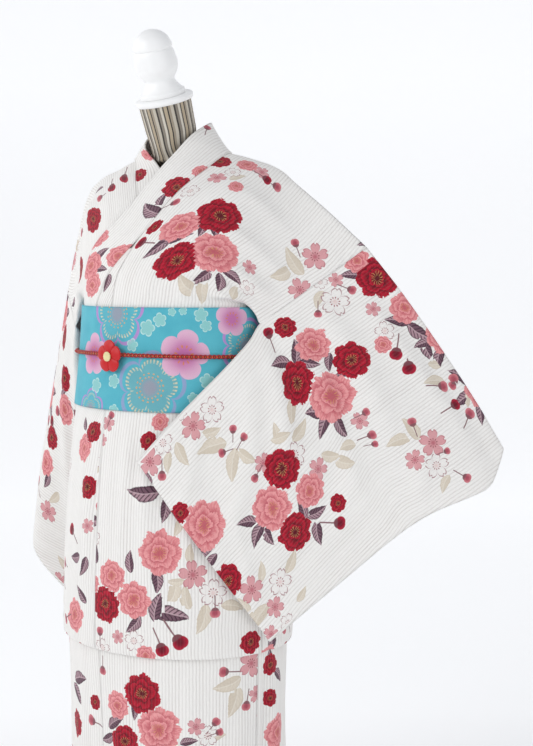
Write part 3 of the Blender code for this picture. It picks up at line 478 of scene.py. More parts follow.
def plane_point(values):
    """World point from (across, height, towards) in the plane the sleeves lie along."""
    across, height, towards = np.moveaxis(values, -1, 0)
    x = across * math.cos(TURN) + towards * math.sin(TURN)
    y = across * math.sin(TURN) - towards * math.cos(TURN)
    return np.stack([x, y, height], axis=-1)


def plane_values(points):
    """The reverse of plane_point."""
    x, y, height = np.moveaxis(points, -1, 0)
    across = x * math.cos(TURN) + y * math.sin(TURN)
    return np.stack([across, height, x * math.sin(TURN) - y * math.cos(TURN)], axis=-1)


def body_face(layer, extra, sign):
    """How far the wrapped body reaches towards (sign 1) or away from (sign -1) the sleeve's side."""
    across, height = layer[..., 0], layer[..., 1]
    wide, deep, middle = np.moveaxis(follow(BODY, np.clip(height, HEM, OBI_TOP)), -1, 0)
    wide = wide + extra
    deep = deep + extra
    cos, sin = math.cos(TURN), math.sin(TURN)
    # With x = x0 + t sin and y - middle = y0 - t cos, the ellipse gives a square equation for t.
    x0 = across * cos
    y0 = across * sin - middle
    a = (sin / wide) ** 2 + (cos / deep) ** 2
    b = 2 * (x0 * sin / wide ** 2 - y0 * cos / deep ** 2)
    c = (x0 / wide) ** 2 + (y0 / deep) ** 2 - 1.0
    room = b * b - 4 * a * c
    face = (-b + sign * np.sqrt(np.maximum(room, 0.0))) / (2 * a)
    return np.where(room > 0, face, -sign * FAR)


def patch(top, bottom, inner, cuff):
    """Points between four edges: rows from the armhole to the wrist, columns from top to bottom."""
    p = np.linspace(0.0, 1.0, len(top))[:, None, None]
    q = np.linspace(0.0, 1.0, len(inner))[None, :, None]
    sides = inner[None] * (1 - p) + cuff[None] * p
    ends = top[:, None] * (1 - q) + bottom[:, None] * q
    corners = top[0] * (1 - p) * (1 - q) + top[-1] * p * (1 - q)
    corners = corners + bottom[0] * (1 - p) * q + bottom[-1] * p * q
    return sides + ends - corners


def sleeve(name, side, front_seam, back_seam):
    """A bag folded along its top, sewn below, open at the wrist and along the body."""
    left = side > 0
    stations = 11
    top = path(LEFT_TOP if left else RIGHT_TOP, np.linspace(0, 1, stations))
    bottom = path(LEFT_BOTTOM if left else RIGHT_BOTTOM, np.linspace(0, 1, stations))
    front_tables = (LEFT_FRONT_INNER, LEFT_FRONT_CUFF) if left else (RIGHT_FRONT_INNER, RIGHT_FRONT_CUFF)
    back_tables = (LEFT_BACK_INNER, LEFT_BACK_CUFF) if left else (RIGHT_BACK_INNER, RIGHT_BACK_CUFF)
    p = np.linspace(0, 1, stations)[:, None]
    layers = []
    for seam, tables, out in ((front_seam, front_tables, 1.0), (back_seam, back_tables, -1.0)):
        held = plane_values(seam)
        free = path(tables[0], np.linspace(0.0, 1.0, FREE_STEPS + 2))[1:]
        inner = np.vstack([held, free])
        top[0] = held[0]
        grid = patch(top, bottom, inner, path(tables[1], np.linspace(0.0, 1.0, len(inner))))
        q = np.linspace(0, 1, len(inner))[None, :]
        swell = (0.013 if left else 0.012) * np.sin(q * math.pi) ** 0.7 * np.sin(p * math.pi) ** 0.8
        grid[..., 2] += swell * out
        layers.append(grid)
    front, back = layers
    free = (np.linspace(0, 1, front.shape[1])[None, :] > 0.40) | (p > 0.15)

    def keep_off(layer, limit, choose):
        layer[..., 2] = np.where(free, choose(layer[..., 2], limit), layer[..., 2])

    if left:
        near = body_face(front, 0.012, 1.0)
        keep_off(back, body_face(back, 0.0152, 1.0), np.maximum)
        keep_off(front, np.maximum(near, back[..., 2]) + LAYERS_APART, np.maximum)
    else:
        reach = body_face(front, 0.0135, -1.0)
        keep_off(front, reach, np.minimum)
        keep_off(back, np.minimum(reach, front[..., 2]) - LAYERS_APART, np.minimum)
    front[:, -1] = (front[:, -1] + back[:, -1]) / 2.0
    add_sheet(name, plane_point(np.concatenate([front, back[:, -2:0:-1]], axis=1)), CLOTH, "sleeve")


def belt():
    """The half-width belt cloth, wound round the waist."""
    degrees, height = np.meshgrid(np.arange(44) * (360.0 / 44), [OBI_LOW, 1.015, 1.07, OBI_TOP - 0.001])
    add_sheet("obi", body(degrees, height, 0.0034), OBI, "belt")


def bow_loop(name, side):
    """One wing of the bow at the back: belt cloth turned back on itself, open above and below."""
    low, high = 0.985, 1.105
    outline = []
    for step in range(22):
        turn = 2 * math.pi * step / 22.0
        reach = 0.5 - 0.5 * math.cos(turn)
        depth = 0.008 + 0.012 * math.sin(reach * math.pi) ** 0.8
        across = 0.0166 + 0.083 * reach
        outline.append((across, 0.163 + depth * math.sin(turn) * 0.9 - 0.012 * reach ** 2))
    grid = []
    for part in np.linspace(0.0, 1.0, 4):
        ring = []
        for x, y in outline:
            fan = 1.0 + 0.25 * (x - 0.017) / 0.083
            height = (low + high) / 2 + (part - 0.5) * (high - low) * fan - 0.10 * (x - 0.017)
            ring.append((side * x, y, height))
        grid.append(ring)
    add_sheet(name, np.array(grid), OBI, "belt")


# The camera stands on this line and looks down a little: turn, distance, side step, height, tilt.
VIEW = math.radians(35.0)
VIEW_FAR = 2.2
VIEW_SIDE = 0.1425
VIEW_HIGH = 1.18
VIEW_DOWN = math.radians(4.4)
LENS = 64.4
# Focal length in picture columns, and the middle of the picture.
FOCUS = 1335.0
MIDDLE_COLUMN = 266.5
MIDDLE_ROW = 373.0
ACROSS = np.array([math.cos(VIEW), math.sin(VIEW), 0.0])
TOWARDS = np.array([math.sin(VIEW), -math.cos(VIEW), 0.0])
EYE = TOWARDS * VIEW_FAR + ACROSS * VIEW_SIDE + UP * VIEW_HIGH

# All creases are deepened by this.
CREASE_GAIN = 1.5
# Creases of the wrapped cloth: degrees from the front and height of three places, width, depth.
WRAP_CREASES = [
    (-58, 0.07, -56, 0.3, -60, 0.5, 0.017, 0.0045), (-40, 0.07, -37, 0.28, -33, 0.47, 0.02, 0.0065),
    (-20, 0.07, -19, 0.24, -21, 0.38, 0.014, 0.003), (4, 0.07, 2, 0.32, 5, 0.55, 0.018, 0.004),
    (19, 0.07, 22, 0.33, 26, 0.55, 0.022, 0.007), (43, 0.07, 47, 0.3, 44, 0.52, 0.019, 0.0055),
    (66, 0.07, 69, 0.28, 72, 0.46, 0.018, 0.006), (97, 0.07, 93, 0.34, 90, 0.55, 0.024, 0.007),
    (121, 0.07, 124, 0.26, 119, 0.44, 0.018, 0.005), (143, 0.07, 140, 0.32, 144, 0.54, 0.021, 0.0065),
    (166, 0.07, 169, 0.22, 167, 0.4, 0.016, 0.0045), (192, 0.07, 188, 0.32, 185, 0.53, 0.02, 0.006),
    (216, 0.07, 219, 0.27, 223, 0.47, 0.019, 0.0055), (243, 0.07, 239, 0.33, 236, 0.55, 0.022, 0.007),
    (268, 0.07, 271, 0.25, 268, 0.42, 0.017, 0.005), (284, 0.07, 282, 0.3, 287, 0.5, 0.018, 0.0045),
    (0, 0.935, -1, 0.85, 1, 0.75, 0.007, 0.0024), (7, 0.94, 9, 0.86, 8, 0.7, 0.012, 0.0038),
    (24, 0.94, 21, 0.82, 26, 0.68, 0.015, 0.0048), (41, 0.93, 45, 0.8, 39, 0.66, 0.013, 0.0042),
    (-24, 0.94, -21, 0.8, -25, 0.65, 0.014, 0.0042), (-52, 0.86, -38, 0.83, -27, 0.815, 0.008, 0.003),
    (-48, 0.72, -34, 0.69, -20, 0.685, 0.01, 0.0026), (62, 0.94, 66, 0.84, 61, 0.7, 0.016, 0.0052),
    (84, 0.94, 88, 0.79, 85, 0.66, 0.014, 0.0045), (108, 0.94, 112, 0.82, 106, 0.68, 0.017, 0.0055),
    (133, 0.94, 130, 0.84, 135, 0.67, 0.015, 0.0045), (158, 0.94, 162, 0.8, 157, 0.66, 0.016, 0.005),
    (197, 0.94, 193, 0.83, 199, 0.68, 0.015, 0.0046), (221, 0.94, 226, 0.81, 220, 0.66, 0.017, 0.0055),
    (247, 0.94, 243, 0.82, 249, 0.69, 0.014, 0.0042), (270, 0.93, 274, 0.8, 268, 0.67, 0.015, 0.0045),
    (85.5, 0.07, 85, 0.3, 85.5, 0.58, 0.007, -0.009), (-15, 0.07, -15, 0.3, -14, 0.56, 0.007, -0.0032),
    (-14, 0.935, -13.5, 0.8, -14, 0.64, 0.006, -0.0024), (-62, 0.07, -60, 0.3, -63, 0.55, 0.012, -0.004),
    (12, 0.66, 32, 0.625, 58, 0.635, 0.011, 0.0026), (-58, 0.64, -36, 0.615, -14, 0.62, 0.01, 0.0024),
]
# Creases above the belt: place and row of three places, width, depth.
CHEST_CREASES = [
    (0.97, 0.1, 0.84, 0.16, 0.74, 0.1, 0.006, 0.0046), (0.99, 0.22, 0.88, 0.26, 0.8, 0.2, 0.007, 0.0042),
    (0.9, 0.06, 0.78, 0.1, 0.66, 0.04, 0.006, 0.0036),
    (0.96, 0.34, 0.86, 0.33, 0.78, 0.28, 0.006, -0.003), (0.98, 0.3, 0.72, 0.17, 0.4, 0.1, 0.009, 0.0042),
    (0.97, 0.42, 0.7, 0.3, 0.46, 0.22, 0.012, 0.0045),
    (0.94, 0.55, 0.66, 0.45, 0.42, 0.36, 0.013, 0.0034), (0.9, 0.2, 0.7, 0.09, 0.52, 0.05, 0.008, 0.004),
    (0.78, 0.14, 0.62, 0.22, 0.55, 0.31, 0.008, 0.003), (0.8, 0.72, 0.62, 0.66, 0.5, 0.56, 0.014, 0.003),
    (0.3, 0.16, 0.26, 0.1, 0.22, 0.04, 0.01, 0.003), (0.58, 0.14, 0.52, 0.08, 0.5, 0.03, 0.009, 0.0034),
    (-0.97, 0.42, -0.8, 0.28, -0.62, 0.16, 0.012, 0.005),
    (-0.95, 0.6, -0.74, 0.44, -0.58, 0.3, 0.013, 0.0042),
    (-0.9, 0.75, -0.62, 0.6, -0.45, 0.45, 0.014, 0.0034),
    (-0.8, 0.16, -0.66, 0.09, -0.58, 0.03, 0.009, 0.0036),
    (0.98, 1.7, 0.72, 1.82, 0.44, 1.92, 0.012, 0.005), (0.96, 1.55, 0.7, 1.66, 0.46, 1.8, 0.014, 0.0042),
    (0.2, 1.62, 0.24, 1.78, 0.2, 1.94, 0.016, 0.004), (0.82, 1.34, 0.6, 1.48, 0.44, 1.66, 0.015, 0.0032),
    (-0.98, 1.66, -0.7, 1.8, -0.46, 1.93, 0.012, 0.0048),
    (-0.94, 1.5, -0.68, 1.62, -0.5, 1.8, 0.014, 0.004),
    (-0.18, 1.66, -0.25, 1.8, -0.22, 1.95, 0.015, 0.0038),
    (-0.8, 1.3, -0.58, 1.46, -0.4, 1.62, 0.015, 0.0032),
]
# Creases of the sleeves: share of the way from armhole to wrist and share down the front (0..1) or
# up the back (1..2) of three places, width, depth.
LEFT_CREASES = [
    (0.02, 0.44, 0.26, 0.52, 0.62, 0.7, 0.018, 0.006), (0.02, 0.36, 0.34, 0.4, 0.8, 0.5, 0.022, 0.0055),
    (0.03, 0.24, 0.3, 0.24, 0.66, 0.3, 0.018, 0.004), (0.1, 0.56, 0.34, 0.7, 0.52, 0.9, 0.02, 0.0055),
    (0.1, 0.1, 0.42, 0.12, 0.86, 0.1, 0.016, 0.0034), (0.52, 0.4, 0.72, 0.62, 0.86, 0.84, 0.024, -0.005),
    (0.22, 0.3, 0.44, 0.36, 0.6, 0.44, 0.013, -0.0032), (0.7, 0.2, 0.84, 0.3, 0.96, 0.36, 0.016, 0.004),
    (0.4, 0.8, 0.62, 0.88, 0.84, 0.93, 0.014, 0.0036), (0.08, 0.74, 0.2, 0.86, 0.3, 0.96, 0.014, 0.0036),
    (0.02, 1.56, 0.3, 1.5, 0.66, 1.32, 0.018, 0.0055), (0.03, 1.68, 0.36, 1.62, 0.8, 1.52, 0.02, 0.005),
    (0.3, 1.4, 0.52, 1.24, 0.7, 1.12, 0.02, 0.0045), (0.1, 1.88, 0.44, 1.86, 0.84, 1.88, 0.015, 0.0034),
]
RIGHT_CREASES = [
    (0.03, 0.4, 0.26, 0.56, 0.56, 0.78, 0.016, 0.005), (0.03, 0.28, 0.36, 0.4, 0.74, 0.6, 0.018, 0.005),
    (0.04, 0.14, 0.44, 0.22, 0.9, 0.34, 0.016, 0.004), (0.3, 0.6, 0.46, 0.76, 0.56, 0.92, 0.016, 0.004),
    (0.6, 0.44, 0.78, 0.62, 0.88, 0.84, 0.018, -0.003), (0.03, 1.6, 0.3, 1.46, 0.6, 1.24, 0.018, 0.0055),
    (0.04, 1.72, 0.4, 1.62, 0.8, 1.44, 0.02, 0.005), (0.3, 1.3, 0.5, 1.16, 0.62, 1.06, 0.016, 0.004),
    (0.06, 1.86, 0.48, 1.8, 0.9, 1.72, 0.015, 0.0036), (0.62, 1.36, 0.78, 1.22, 0.9, 1.12, 0.016, 0.0036),
]

# The print where the camera sees it. For each kind: picture column, picture row, radius in mm (for a
# leaf half its length), turn in the picture (for a leaf its tip's way, for a bud its stalk's), tone.
# Tones: flower 0 salmon, 1 deep red; blossom 0 dusty, 1 white with an outline; leaf 0 pale, 1 dark.
PRINT = {
    "flower": [
        (92, 220, 24, 5, 1), (95, 238, 26, 30, 0), (90, 265, 27, 8, 0), (77, 272, 20, 50, 1),
        (91, 284, 24, 20, 0), (117, 255, 24, 12, 0), (140, 174, 14, 40, 1), (146, 155, 16, 0, 0),
        (175, 187, 24, 10, 1), (221, 160, 18, 20, 1), (200, 171, 13, 0, 0), (220, 216, 34, 0, 1),
        (181, 226, 28, 25, 0), (177, 260, 33, 40, 1), (215, 252, 39, 12, 0), (152, 227, 12, 10, 1),
        (250, 163, 18, 0, 0), (236, 186, 12, 30, 0), (377, 278, 35, 15, 1), (357, 261, 21, 33, 0),
        (405, 308, 26, 9, 0), (285, 327, 18, 28, 1), (313, 345, 29, 9, 0), (352, 360, 30, 48, 1),
        (297, 383, 32, 44, 1), (332, 395, 39, 5, 0), (383, 345, 14, 20, 0), (282, 469, 31, 18, 1),
        (310, 491, 26, 36, 0), (272, 508, 34, 2, 0), (295, 532, 30, 31, 1), (338, 503, 14, 12, 1),
        (204, 525, 37, 16, 0), (160, 553, 36, 38, 0), (180, 513, 16, 4, 1), (228, 581, 25, 26, 1),
        (105, 604, 30, 12, 1), (134, 600, 30, 45, 0), (73, 614, 28, 7, 0), (112, 576, 27, 19, 0),
        (92, 583, 16, 50, 0), (148, 441, 15, 0, 1), (160, 422, 14, 15, 0), (63, 410, 28, 37, 0),
        (82, 447, 24, 43, 0), (93, 432, 19, 1, 1), (87, 487, 20, 21, 1), (62, 377, 23, 14, 1),
        (146, 656, 17, 9, 0), (142, 694, 33, 29, 1), (116, 705, 23, 11, 0), (158, 730, 38, 41, 0),
        (125, 741, 27, 23, 1), (74, 720, 24, 3, 1), (95, 702, 13, 8, 1), (280, 730, 30, 34, 0),
        (272, 664, 18, 9, 1), (270, 698, 15, 50, 1), (49, 437, 22, 5, 1), (45, 462, 24, 30, 0),
    ],
    "blossom": [
        (315, 257, 23, 12, 0), (300, 290, 21, 40, 0), (335, 302, 25, 5, 1), (320, 282, 13, 0, 1),
        (336, 280, 13, 30, 0), (250, 267, 14, 8, 0), (247, 288, 15, 22, 1), (373, 309, 13, 3, 0),
        (385, 331, 17, 33, 1), (433, 443, 23, 17, 0), (437, 465, 21, 28, 1), (415, 460, 17, 9, 0),
        (360, 421, 15, 42, 0), (150, 462, 22, 14, 0), (163, 443, 18, 35, 1), (193, 426, 22, 6, 0),
        (212, 410, 21, 24, 1), (263, 463, 16, 11, 0), (295, 455, 20, 39, 1), (318, 469, 18, 2, 0),
        (193, 575, 24, 27, 0), (213, 593, 23, 13, 1), (252, 590, 22, 32, 0), (280, 582, 22, 20, 1),
        (275, 607, 17, 7, 0), (288, 623, 15, 5, 1), (271, 634, 14, 15, 0), (190, 191, 13, 9, 1),
        (262, 172, 14, 30, 0), (232, 172, 13, 12, 1), (107, 423, 14, 4, 0), (93, 537, 15, 22, 1),
        (87, 526, 13, 40, 0), (101, 647, 16, 0, 1), (134, 641, 18, 18, 1), (118, 637, 12, 28, 0),
        (252, 663, 24, 10, 0), (256, 694, 15, 33, 0), (196, 727, 15, 5, 0), (208, 736, 18, 25, 1),
        (47, 511, 21, 2, 0), (66, 463, 17, 20, 1), (102, 440, 11, 14, 0), (218, 176, 14, 37, 0),
        (180, 413, 12, 5, 1),
    ],
    "leaf": [
        (150, 210, 25, 150, 1), (159, 200, 17, 60, 1), (157, 247, 20, 215, 1), (166, 238, 15, 150, 1),
        (181, 237, 14, 20, 1), (202, 229, 13, 250, 1), (215, 231, 13, 285, 1), (203, 276, 18, 215, 1),
        (220, 283, 19, 265, 1), (233, 277, 17, 320, 1), (97, 187, 14, 215, 1), (101, 252, 15, 40, 1),
        (101, 268, 13, 0, 1), (105, 283, 15, 250, 1), (280, 363, 18, 190, 1), (296, 351, 18, 95, 1),
        (309, 363, 16, 350, 1), (329, 363, 14, 270, 1), (342, 374, 12, 200, 1), (315, 413, 18, 175, 1),
        (324, 425, 19, 250, 1), (341, 426, 18, 300, 1), (351, 275, 16, 180, 1), (396, 321, 18, 170, 1),
        (420, 333, 22, 330, 1), (427, 350, 20, 295, 1), (247, 522, 17, 190, 1), (257, 535, 18, 250, 1),
        (268, 536, 16, 300, 1), (303, 510, 17, 110, 1), (317, 512, 17, 30, 1), (318, 533, 18, 280, 1),
        (142, 493, 26, 175, 1), (146, 479, 18, 110, 1), (165, 511, 18, 260, 1), (203, 552, 15, 10, 1),
        (210, 563, 14, 280, 1), (157, 582, 18, 270, 1), (157, 606, 22, 75, 1), (172, 615, 26, 350, 1),
        (134, 625, 18, 230, 1), (130, 561, 16, 90, 1), (94, 553, 14, 90, 1), (83, 423, 12, 90, 1),
        (73, 555, 18, 180, 1), (83, 567, 16, 250, 1), (81, 594, 16, 120, 1), (78, 677, 22, 0, 1),
        (62, 663, 18, 100, 1), (75, 691, 20, 290, 1), (134, 711, 14, 270, 1), (148, 711, 12, 300, 1),
        (114, 722, 18, 30, 1), (107, 738, 16, 200, 1), (189, 742, 13, 10, 1), (272, 656, 14, 95, 1),
        (281, 673, 16, 300, 1), (70, 300, 18, 230, 1), (60, 395, 16, 60, 1), (45, 480, 16, 250, 1),
        (293, 261, 23, 120, 0), (281, 274, 20, 200, 0), (318, 299, 15, 250, 0), (185, 285, 20, 130, 0),
        (201, 292, 19, 270, 0), (236, 291, 16, 60, 0), (437, 364, 14, 10, 0), (434, 381, 17, 185, 0),
        (467, 400, 17, 265, 0), (411, 428, 19, 130, 0), (398, 441, 19, 200, 0), (292, 412, 18, 270, 0),
        (300, 430, 18, 60, 0), (276, 432, 13, 100, 0), (182, 455, 18, 300, 0), (211, 447, 23, 200, 0),
        (212, 432, 15, 20, 0), (233, 466, 22, 265, 0), (247, 457, 17, 330, 0), (281, 437, 16, 20, 0),
        (168, 463, 14, 265, 0), (331, 456, 16, 0, 0), (345, 462, 18, 350, 0), (347, 446, 14, 200, 0),
        (262, 572, 14, 90, 0), (292, 562, 17, 70, 0), (244, 607, 17, 120, 0), (259, 618, 22, 240, 0),
        (302, 594, 12, 60, 0), (173, 594, 21, 250, 0), (186, 597, 18, 100, 0), (175, 582, 13, 180, 0),
        (203, 620, 22, 250, 0), (233, 606, 17, 350, 0), (178, 528, 14, 250, 0), (190, 553, 14, 90, 0),
        (252, 620, 18, 230, 0), (227, 685, 22, 200, 0), (235, 702, 24, 255, 0), (217, 737, 14, 20, 0),
        (206, 103, 17, 200, 0), (445, 484, 14, 250, 0), (54, 500, 16, 220, 0), (240, 176, 12, 10, 0),
    ],
    "bud": [
        (124, 178, 11, 80, 1), (111, 187, 11, 90, 1), (98, 197, 9, 40, 0), (140, 243, 9, 0, 1),
        (174, 202, 7, 200, 0), (268, 333, 10, 290, 1), (409, 368, 12, 100, 1), (396, 354, 11, 80, 1),
        (295, 243, 8, 290, 0), (352, 290, 8, 160, 0), (318, 314, 7, 90, 0), (453, 385, 8, 60, 0),
        (412, 422, 8, 290, 0), (447, 451, 6, 200, 0), (340, 523, 11, 180, 1), (162, 476, 8, 90, 0),
        (222, 453, 7, 20, 0), (233, 429, 7, 270, 0), (244, 437, 7, 240, 0), (255, 478, 7, 60, 0),
        (215, 613, 9, 90, 0), (180, 642, 14, 130, 1), (162, 650, 12, 110, 1), (100, 631, 8, 270, 0),
        (101, 670, 8, 90, 0), (224, 672, 9, 0, 0), (246, 706, 9, 80, 0), (260, 714, 7, 100, 0),
        (216, 722, 8, 230, 0), (220, 732, 7, 200, 0), (91, 720, 10, 330, 0), (70, 528, 11, 290, 1),
        (268, 179, 9, 140, 1), (277, 187, 9, 150, 0), (372, 435, 8, 200, 0), (375, 444, 6, 190, 0),
        (467, 478, 8, 150, 0), (366, 412, 7, 210, 0), (209, 127, 7, 250, 0), (110, 415, 7, 250, 0),
    ],
}
# The belt's print: kind, picture column, picture row, radius in mm, turn, tone.
BELT_PRINT = [
    ("outline", 149, 388, 46, 10, 0), ("outline", 117, 314, 44, 30, 1), ("outline", 247, 346, 36, 0, 1),
    ("outline", 88, 408, 26, 22, 1), ("plum", 184, 355, 40, 5, 0), ("plum", 92, 354, 35, 30, 0),
    ("plum", 232, 319, 28, 12, 0), ("sprig", 147, 328, 14, 0, 0), ("sprig", 159, 320, 12, 30, 0),
    ("sprig", 131, 345, 11, 10, 0), ("sprig", 112, 381, 12, 0, 0), ("sprig", 201, 315, 12, 15, 0),
    ("sprig", 206, 326, 10, 40, 0), ("sprig", 207, 381, 12, 20, 0), ("sprig", 112, 410, 10, 5, 0),
    ("sprig", 94, 385, 13, 0, 0), ("sprig", 193, 398, 9, 25, 0), ("sprig", 172, 312, 7, 0, 1),
    ("sprig", 183, 311, 7, 30, 1), ("sprig", 221, 400, 11, 12, 0),
]
BELT_PIECES = ("obi", "bow_left", "bow_right")
BELT_KINDS = ("outline", "plum", "sprig")
COTTON_KINDS = ("leaf", "blossom", "flower", "bud")
# Columns and rows of the picture that the print's table covers, and the margin looked at round it.
TABLE_WIDE = 533
TABLE_HIGH = 735
MARGIN = 40
# The picture is looked at in coarse cells: their size, and how many there are.
CELL = 4.0
CELL_ROWS = 200
CELL_COLUMNS = 150
# Cloth that lies farther than this behind the nearest cloth of its cell counts as hidden.
BEHIND = 0.03
# Places tried for a spray on each square metre of cloth.
TRIES = 900

# Distance between the points of the cotton, and of the smaller pieces.
SPACING = 0.0062
SMALL_SPACING = 0.0042
# The sewn part of a wrist edge: steps from its lower end, and half the distance between its layers.
CUFF_STEPS = 7
CUFF_GAP = 0.0010
# Below this height a sleeve's inner edge is open and turned in, without print.
VENT_TOP = 1.09
# Cord: height, distance from the wrapped body, radius, and how close its strands are.
CORD_HIGH = 1.046
CORD_OUT = 0.0084
CORD_RADIUS = 0.0031
STRANDS = 900.0
# The clasp's place round the body in degrees from the front.
CLASP_ANGLE = -5.5

# Every cloth piece by its name, from its layout to its mesh.
PIECES = {}


def project(points):
    """Picture column, picture row and distance of world points."""
    side = points @ ACROSS - VIEW_SIDE
    high = points[..., 2] - VIEW_HIGH
    far = VIEW_FAR - points @ TOWARDS
    depth = far * math.cos(VIEW_DOWN) - high * math.sin(VIEW_DOWN)
    rise = far * math.sin(VIEW_DOWN) + high * math.cos(VIEW_DOWN)
    return MIDDLE_COLUMN + FOCUS * side / depth, MIDDLE_ROW - FOCUS * rise / depth, depth


def refine(grid, spacing, axis, closed=False):
    """More points along one axis of a grid, on smooth curves through the given ones."""
    lines = np.moveaxis(grid, axis, 0)
    if closed:
        lines = np.concatenate([lines[-2:], lines, lines[:3]])
    steps = np.linalg.norm(np.diff(lines, axis=0), axis=-1).mean(axis=1) + 1e-9
    places = np.concatenate([[0.0], np.cumsum(steps)])
    first, last = (2, len(lines) - 3) if closed else (0, len(lines) - 1)
    at = []
    for index in range(first, last):
        count = max(1, int(math.ceil(steps[index] / spacing)))
        at += list(places[index] + steps[index] * np.arange(count) / count)
    if not closed:
        at.append(places[last])
    fine = follow(np.column_stack([places, lines.reshape(len(lines), -1)]), np.array(at))
    return np.moveaxis(fine.reshape((len(at),) + lines.shape[1:]), 0, axis)


def flat_of(grid, ring):
    """Where each point of a piece lay in the flat cloth: (across the warp, along the warp)."""
    along_axis = 1 if ring == "sleeve" else 0
    cross_axis = 1 - along_axis
    if ring:
        grid = np.concatenate([grid, grid[:, :1]], axis=1)

    def run(axis):
        steps = np.linalg.norm(np.diff(grid, axis=axis), axis=-1)
        pad = [(0, 0), (0, 0)]
        pad[axis] = (1, 0)
        return np.pad(np.cumsum(steps, axis=axis), pad)

    across = run(cross_axis)
    along = run(along_axis).mean(axis=cross_axis, keepdims=True)
    if ring == "belt":
        across, along = run(0), run(1).mean(axis=0, keepdims=True)
    return np.stack(np.broadcast_arrays(across, along), axis=-1)


def crease_push(points, creases, surface_point):
    """How far soft ridges and troughs move each point: those of a table, placed on a surface."""
    push = np.zeros(points.shape[:-1])
    for row in creases:
        table = np.reshape(row[:6], (3, 2))
        width, depth = row[6:]
        line = path(surface_point(table), np.linspace(0.0, 1.0, 9))
        best = np.full(push.shape, 9.0)
        run = np.zeros(push.shape)
        for index in range(len(line) - 1):
            a, b = line[index], line[index + 1]
            span = b - a
            share = np.clip((points - a) @ span / (span @ span), 0.0, 1.0)
            away = np.linalg.norm(points - a - share[..., None] * span, axis=-1)
            closer = away < best
            best = np.where(closer, away, best)
            run = np.where(closer, (index + share) / (len(line) - 1), run)
        fade = np.clip(np.sin(np.clip(run, 0.03, 0.97) * math.pi), 0.0, 1.0) ** 0.6
        if table[0, 1] == HEM:
            fade = np.where(run < 0.5, 1.0, fade)
        push = push + CREASE_GAIN * depth * np.exp(-(best / width) ** 2) * fade
    return push


def creased(name, grid, normals, ring):
    """The grid of a cotton piece with its creases pressed in."""
    if ring == "sleeve":
        flat = flat_of(grid, ring)[:, :-1]
        rows, cols = grid.shape[:2]

        def surface_point(table):
            row = np.clip(np.rint(table[:, 0] * (rows - 1)).astype(int), 0, rows - 1)
            col = np.clip(np.rint(table[:, 1] * cols / 2.0).astype(int), 0, cols - 1)
            return flat[row, col]

        push = crease_push(flat, LEFT_CREASES if name.endswith("left") else RIGHT_CREASES, surface_point)
        share = np.linspace(0.0, 1.0, rows)[:, None]
        push = push * ease(share / 0.06) * ease((1.0 - share) / 0.05)
        return grid + normals * push[..., None]
    push = crease_push(grid, WRAP_CREASES, lambda table: body(table[:, 0], table[:, 1], -0.004))
    height = grid[..., 2]
    if name.startswith("skirt"):
        push = push * ease((FOLD - 0.008 - height) / 0.03)
    else:
        push = push * ease((OBI_LOW - 0.010 - height) / 0.02)
        chest_push = crease_push(grid, CHEST_CREASES, lambda table: chest(table[:, 0], table[:, 1]))
        push = push + chest_push * ease((height - OBI_TOP - 0.004) / 0.02)
    return grid + normals * push[..., None]


def add_sheet(name, grid, half, ring=""):
    """Keep a piece's cloth as a fine grid; the mesh is made once the print is laid out."""
    around_cols = bool(ring)
    spacing = SMALL_SPACING if name in BELT_PIECES + ("collar",) else SPACING
    centre = grid.mean(axis=(0, 1))
    if ring == "sleeve":
        grid = sewn_cuff(grid, CUFF_STEPS)
    fine = refine(refine(grid, spacing, 0), spacing, 1, around_cols)
    if name.startswith("sleeve"):
        away = fine - fine.mean(axis=1, keepdims=True)
    elif name.startswith("bow"):
        away = fine - centre
    elif name.startswith(("body", "gore", "collar")):
        away = fine - UP * 1.05
    else:
        away = fine - UP * fine[..., 2:3]
    normals = facing(normals_of(fine, around_cols), away)
    if name.startswith(("body", "gore", "sleeve", "skirt")):
        fine = creased(name, fine, normals, ring)
        normals = facing(normals_of(fine, around_cols), normals)
    flat = flat_of(fine, ring)
    PIECES[name] = {
        "grid": fine, "normals": normals, "flat": flat, "ring": ring, "half": half, "motifs": [],
    }


def sewn_cuff(grid, low):
    """Bring the sleeve's two layers together along the sewn part of its wrist edge."""
    rows, cols = grid.shape[:2]
    bottom = cols // 2
    grid = grid.copy()
    for step in range(1, low + 1):
        a = bottom - step
        b = (bottom + step) % cols
        middle = (grid[:, a] + grid[:, b]) / 2.0
        share = ease((np.arange(rows) / (rows - 1) - 0.72) / 0.28) * ease((low + 0.6 - step) / 1.6)
        share = share[:, None]
        apart = grid[:, a] - middle
        length = np.maximum(np.linalg.norm(apart, axis=1, keepdims=True), 1e-9)
        keep = apart * (1.0 - share) + apart / length * CUFF_GAP * share
        grid[:, a] = middle + keep
        grid[:, b] = middle - keep
    return grid


def add_mesh(name, points, faces, uv, material, node_name):
    """One named piece that rides with the part and stands for a solid."""
    mesh = bpy.data.meshes.new(name)
    mesh.from_pydata(points, [], faces)
    layer = mesh.uv_layers.new(name="cloth")
    layer.data.foreach_set("uv", np.asarray(uv, dtype=np.float32).ravel())
    mesh.shade_smooth()
    item = bpy.data.objects.new(name, mesh)
    bpy.context.scene.collection.objects.link(item)
    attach(item, "root")
    item.data.materials.append(material)
    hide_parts(node_name)
    return item


def set_print(item, kind, values):
    """Keep a motif kind's own coordinates on the corners of a mesh."""
    layer = item.data.attributes.new("print_" + kind, "FLOAT_VECTOR", "CORNER")
    layer.data.foreach_set("vector", values.astype(np.float32).ravel())


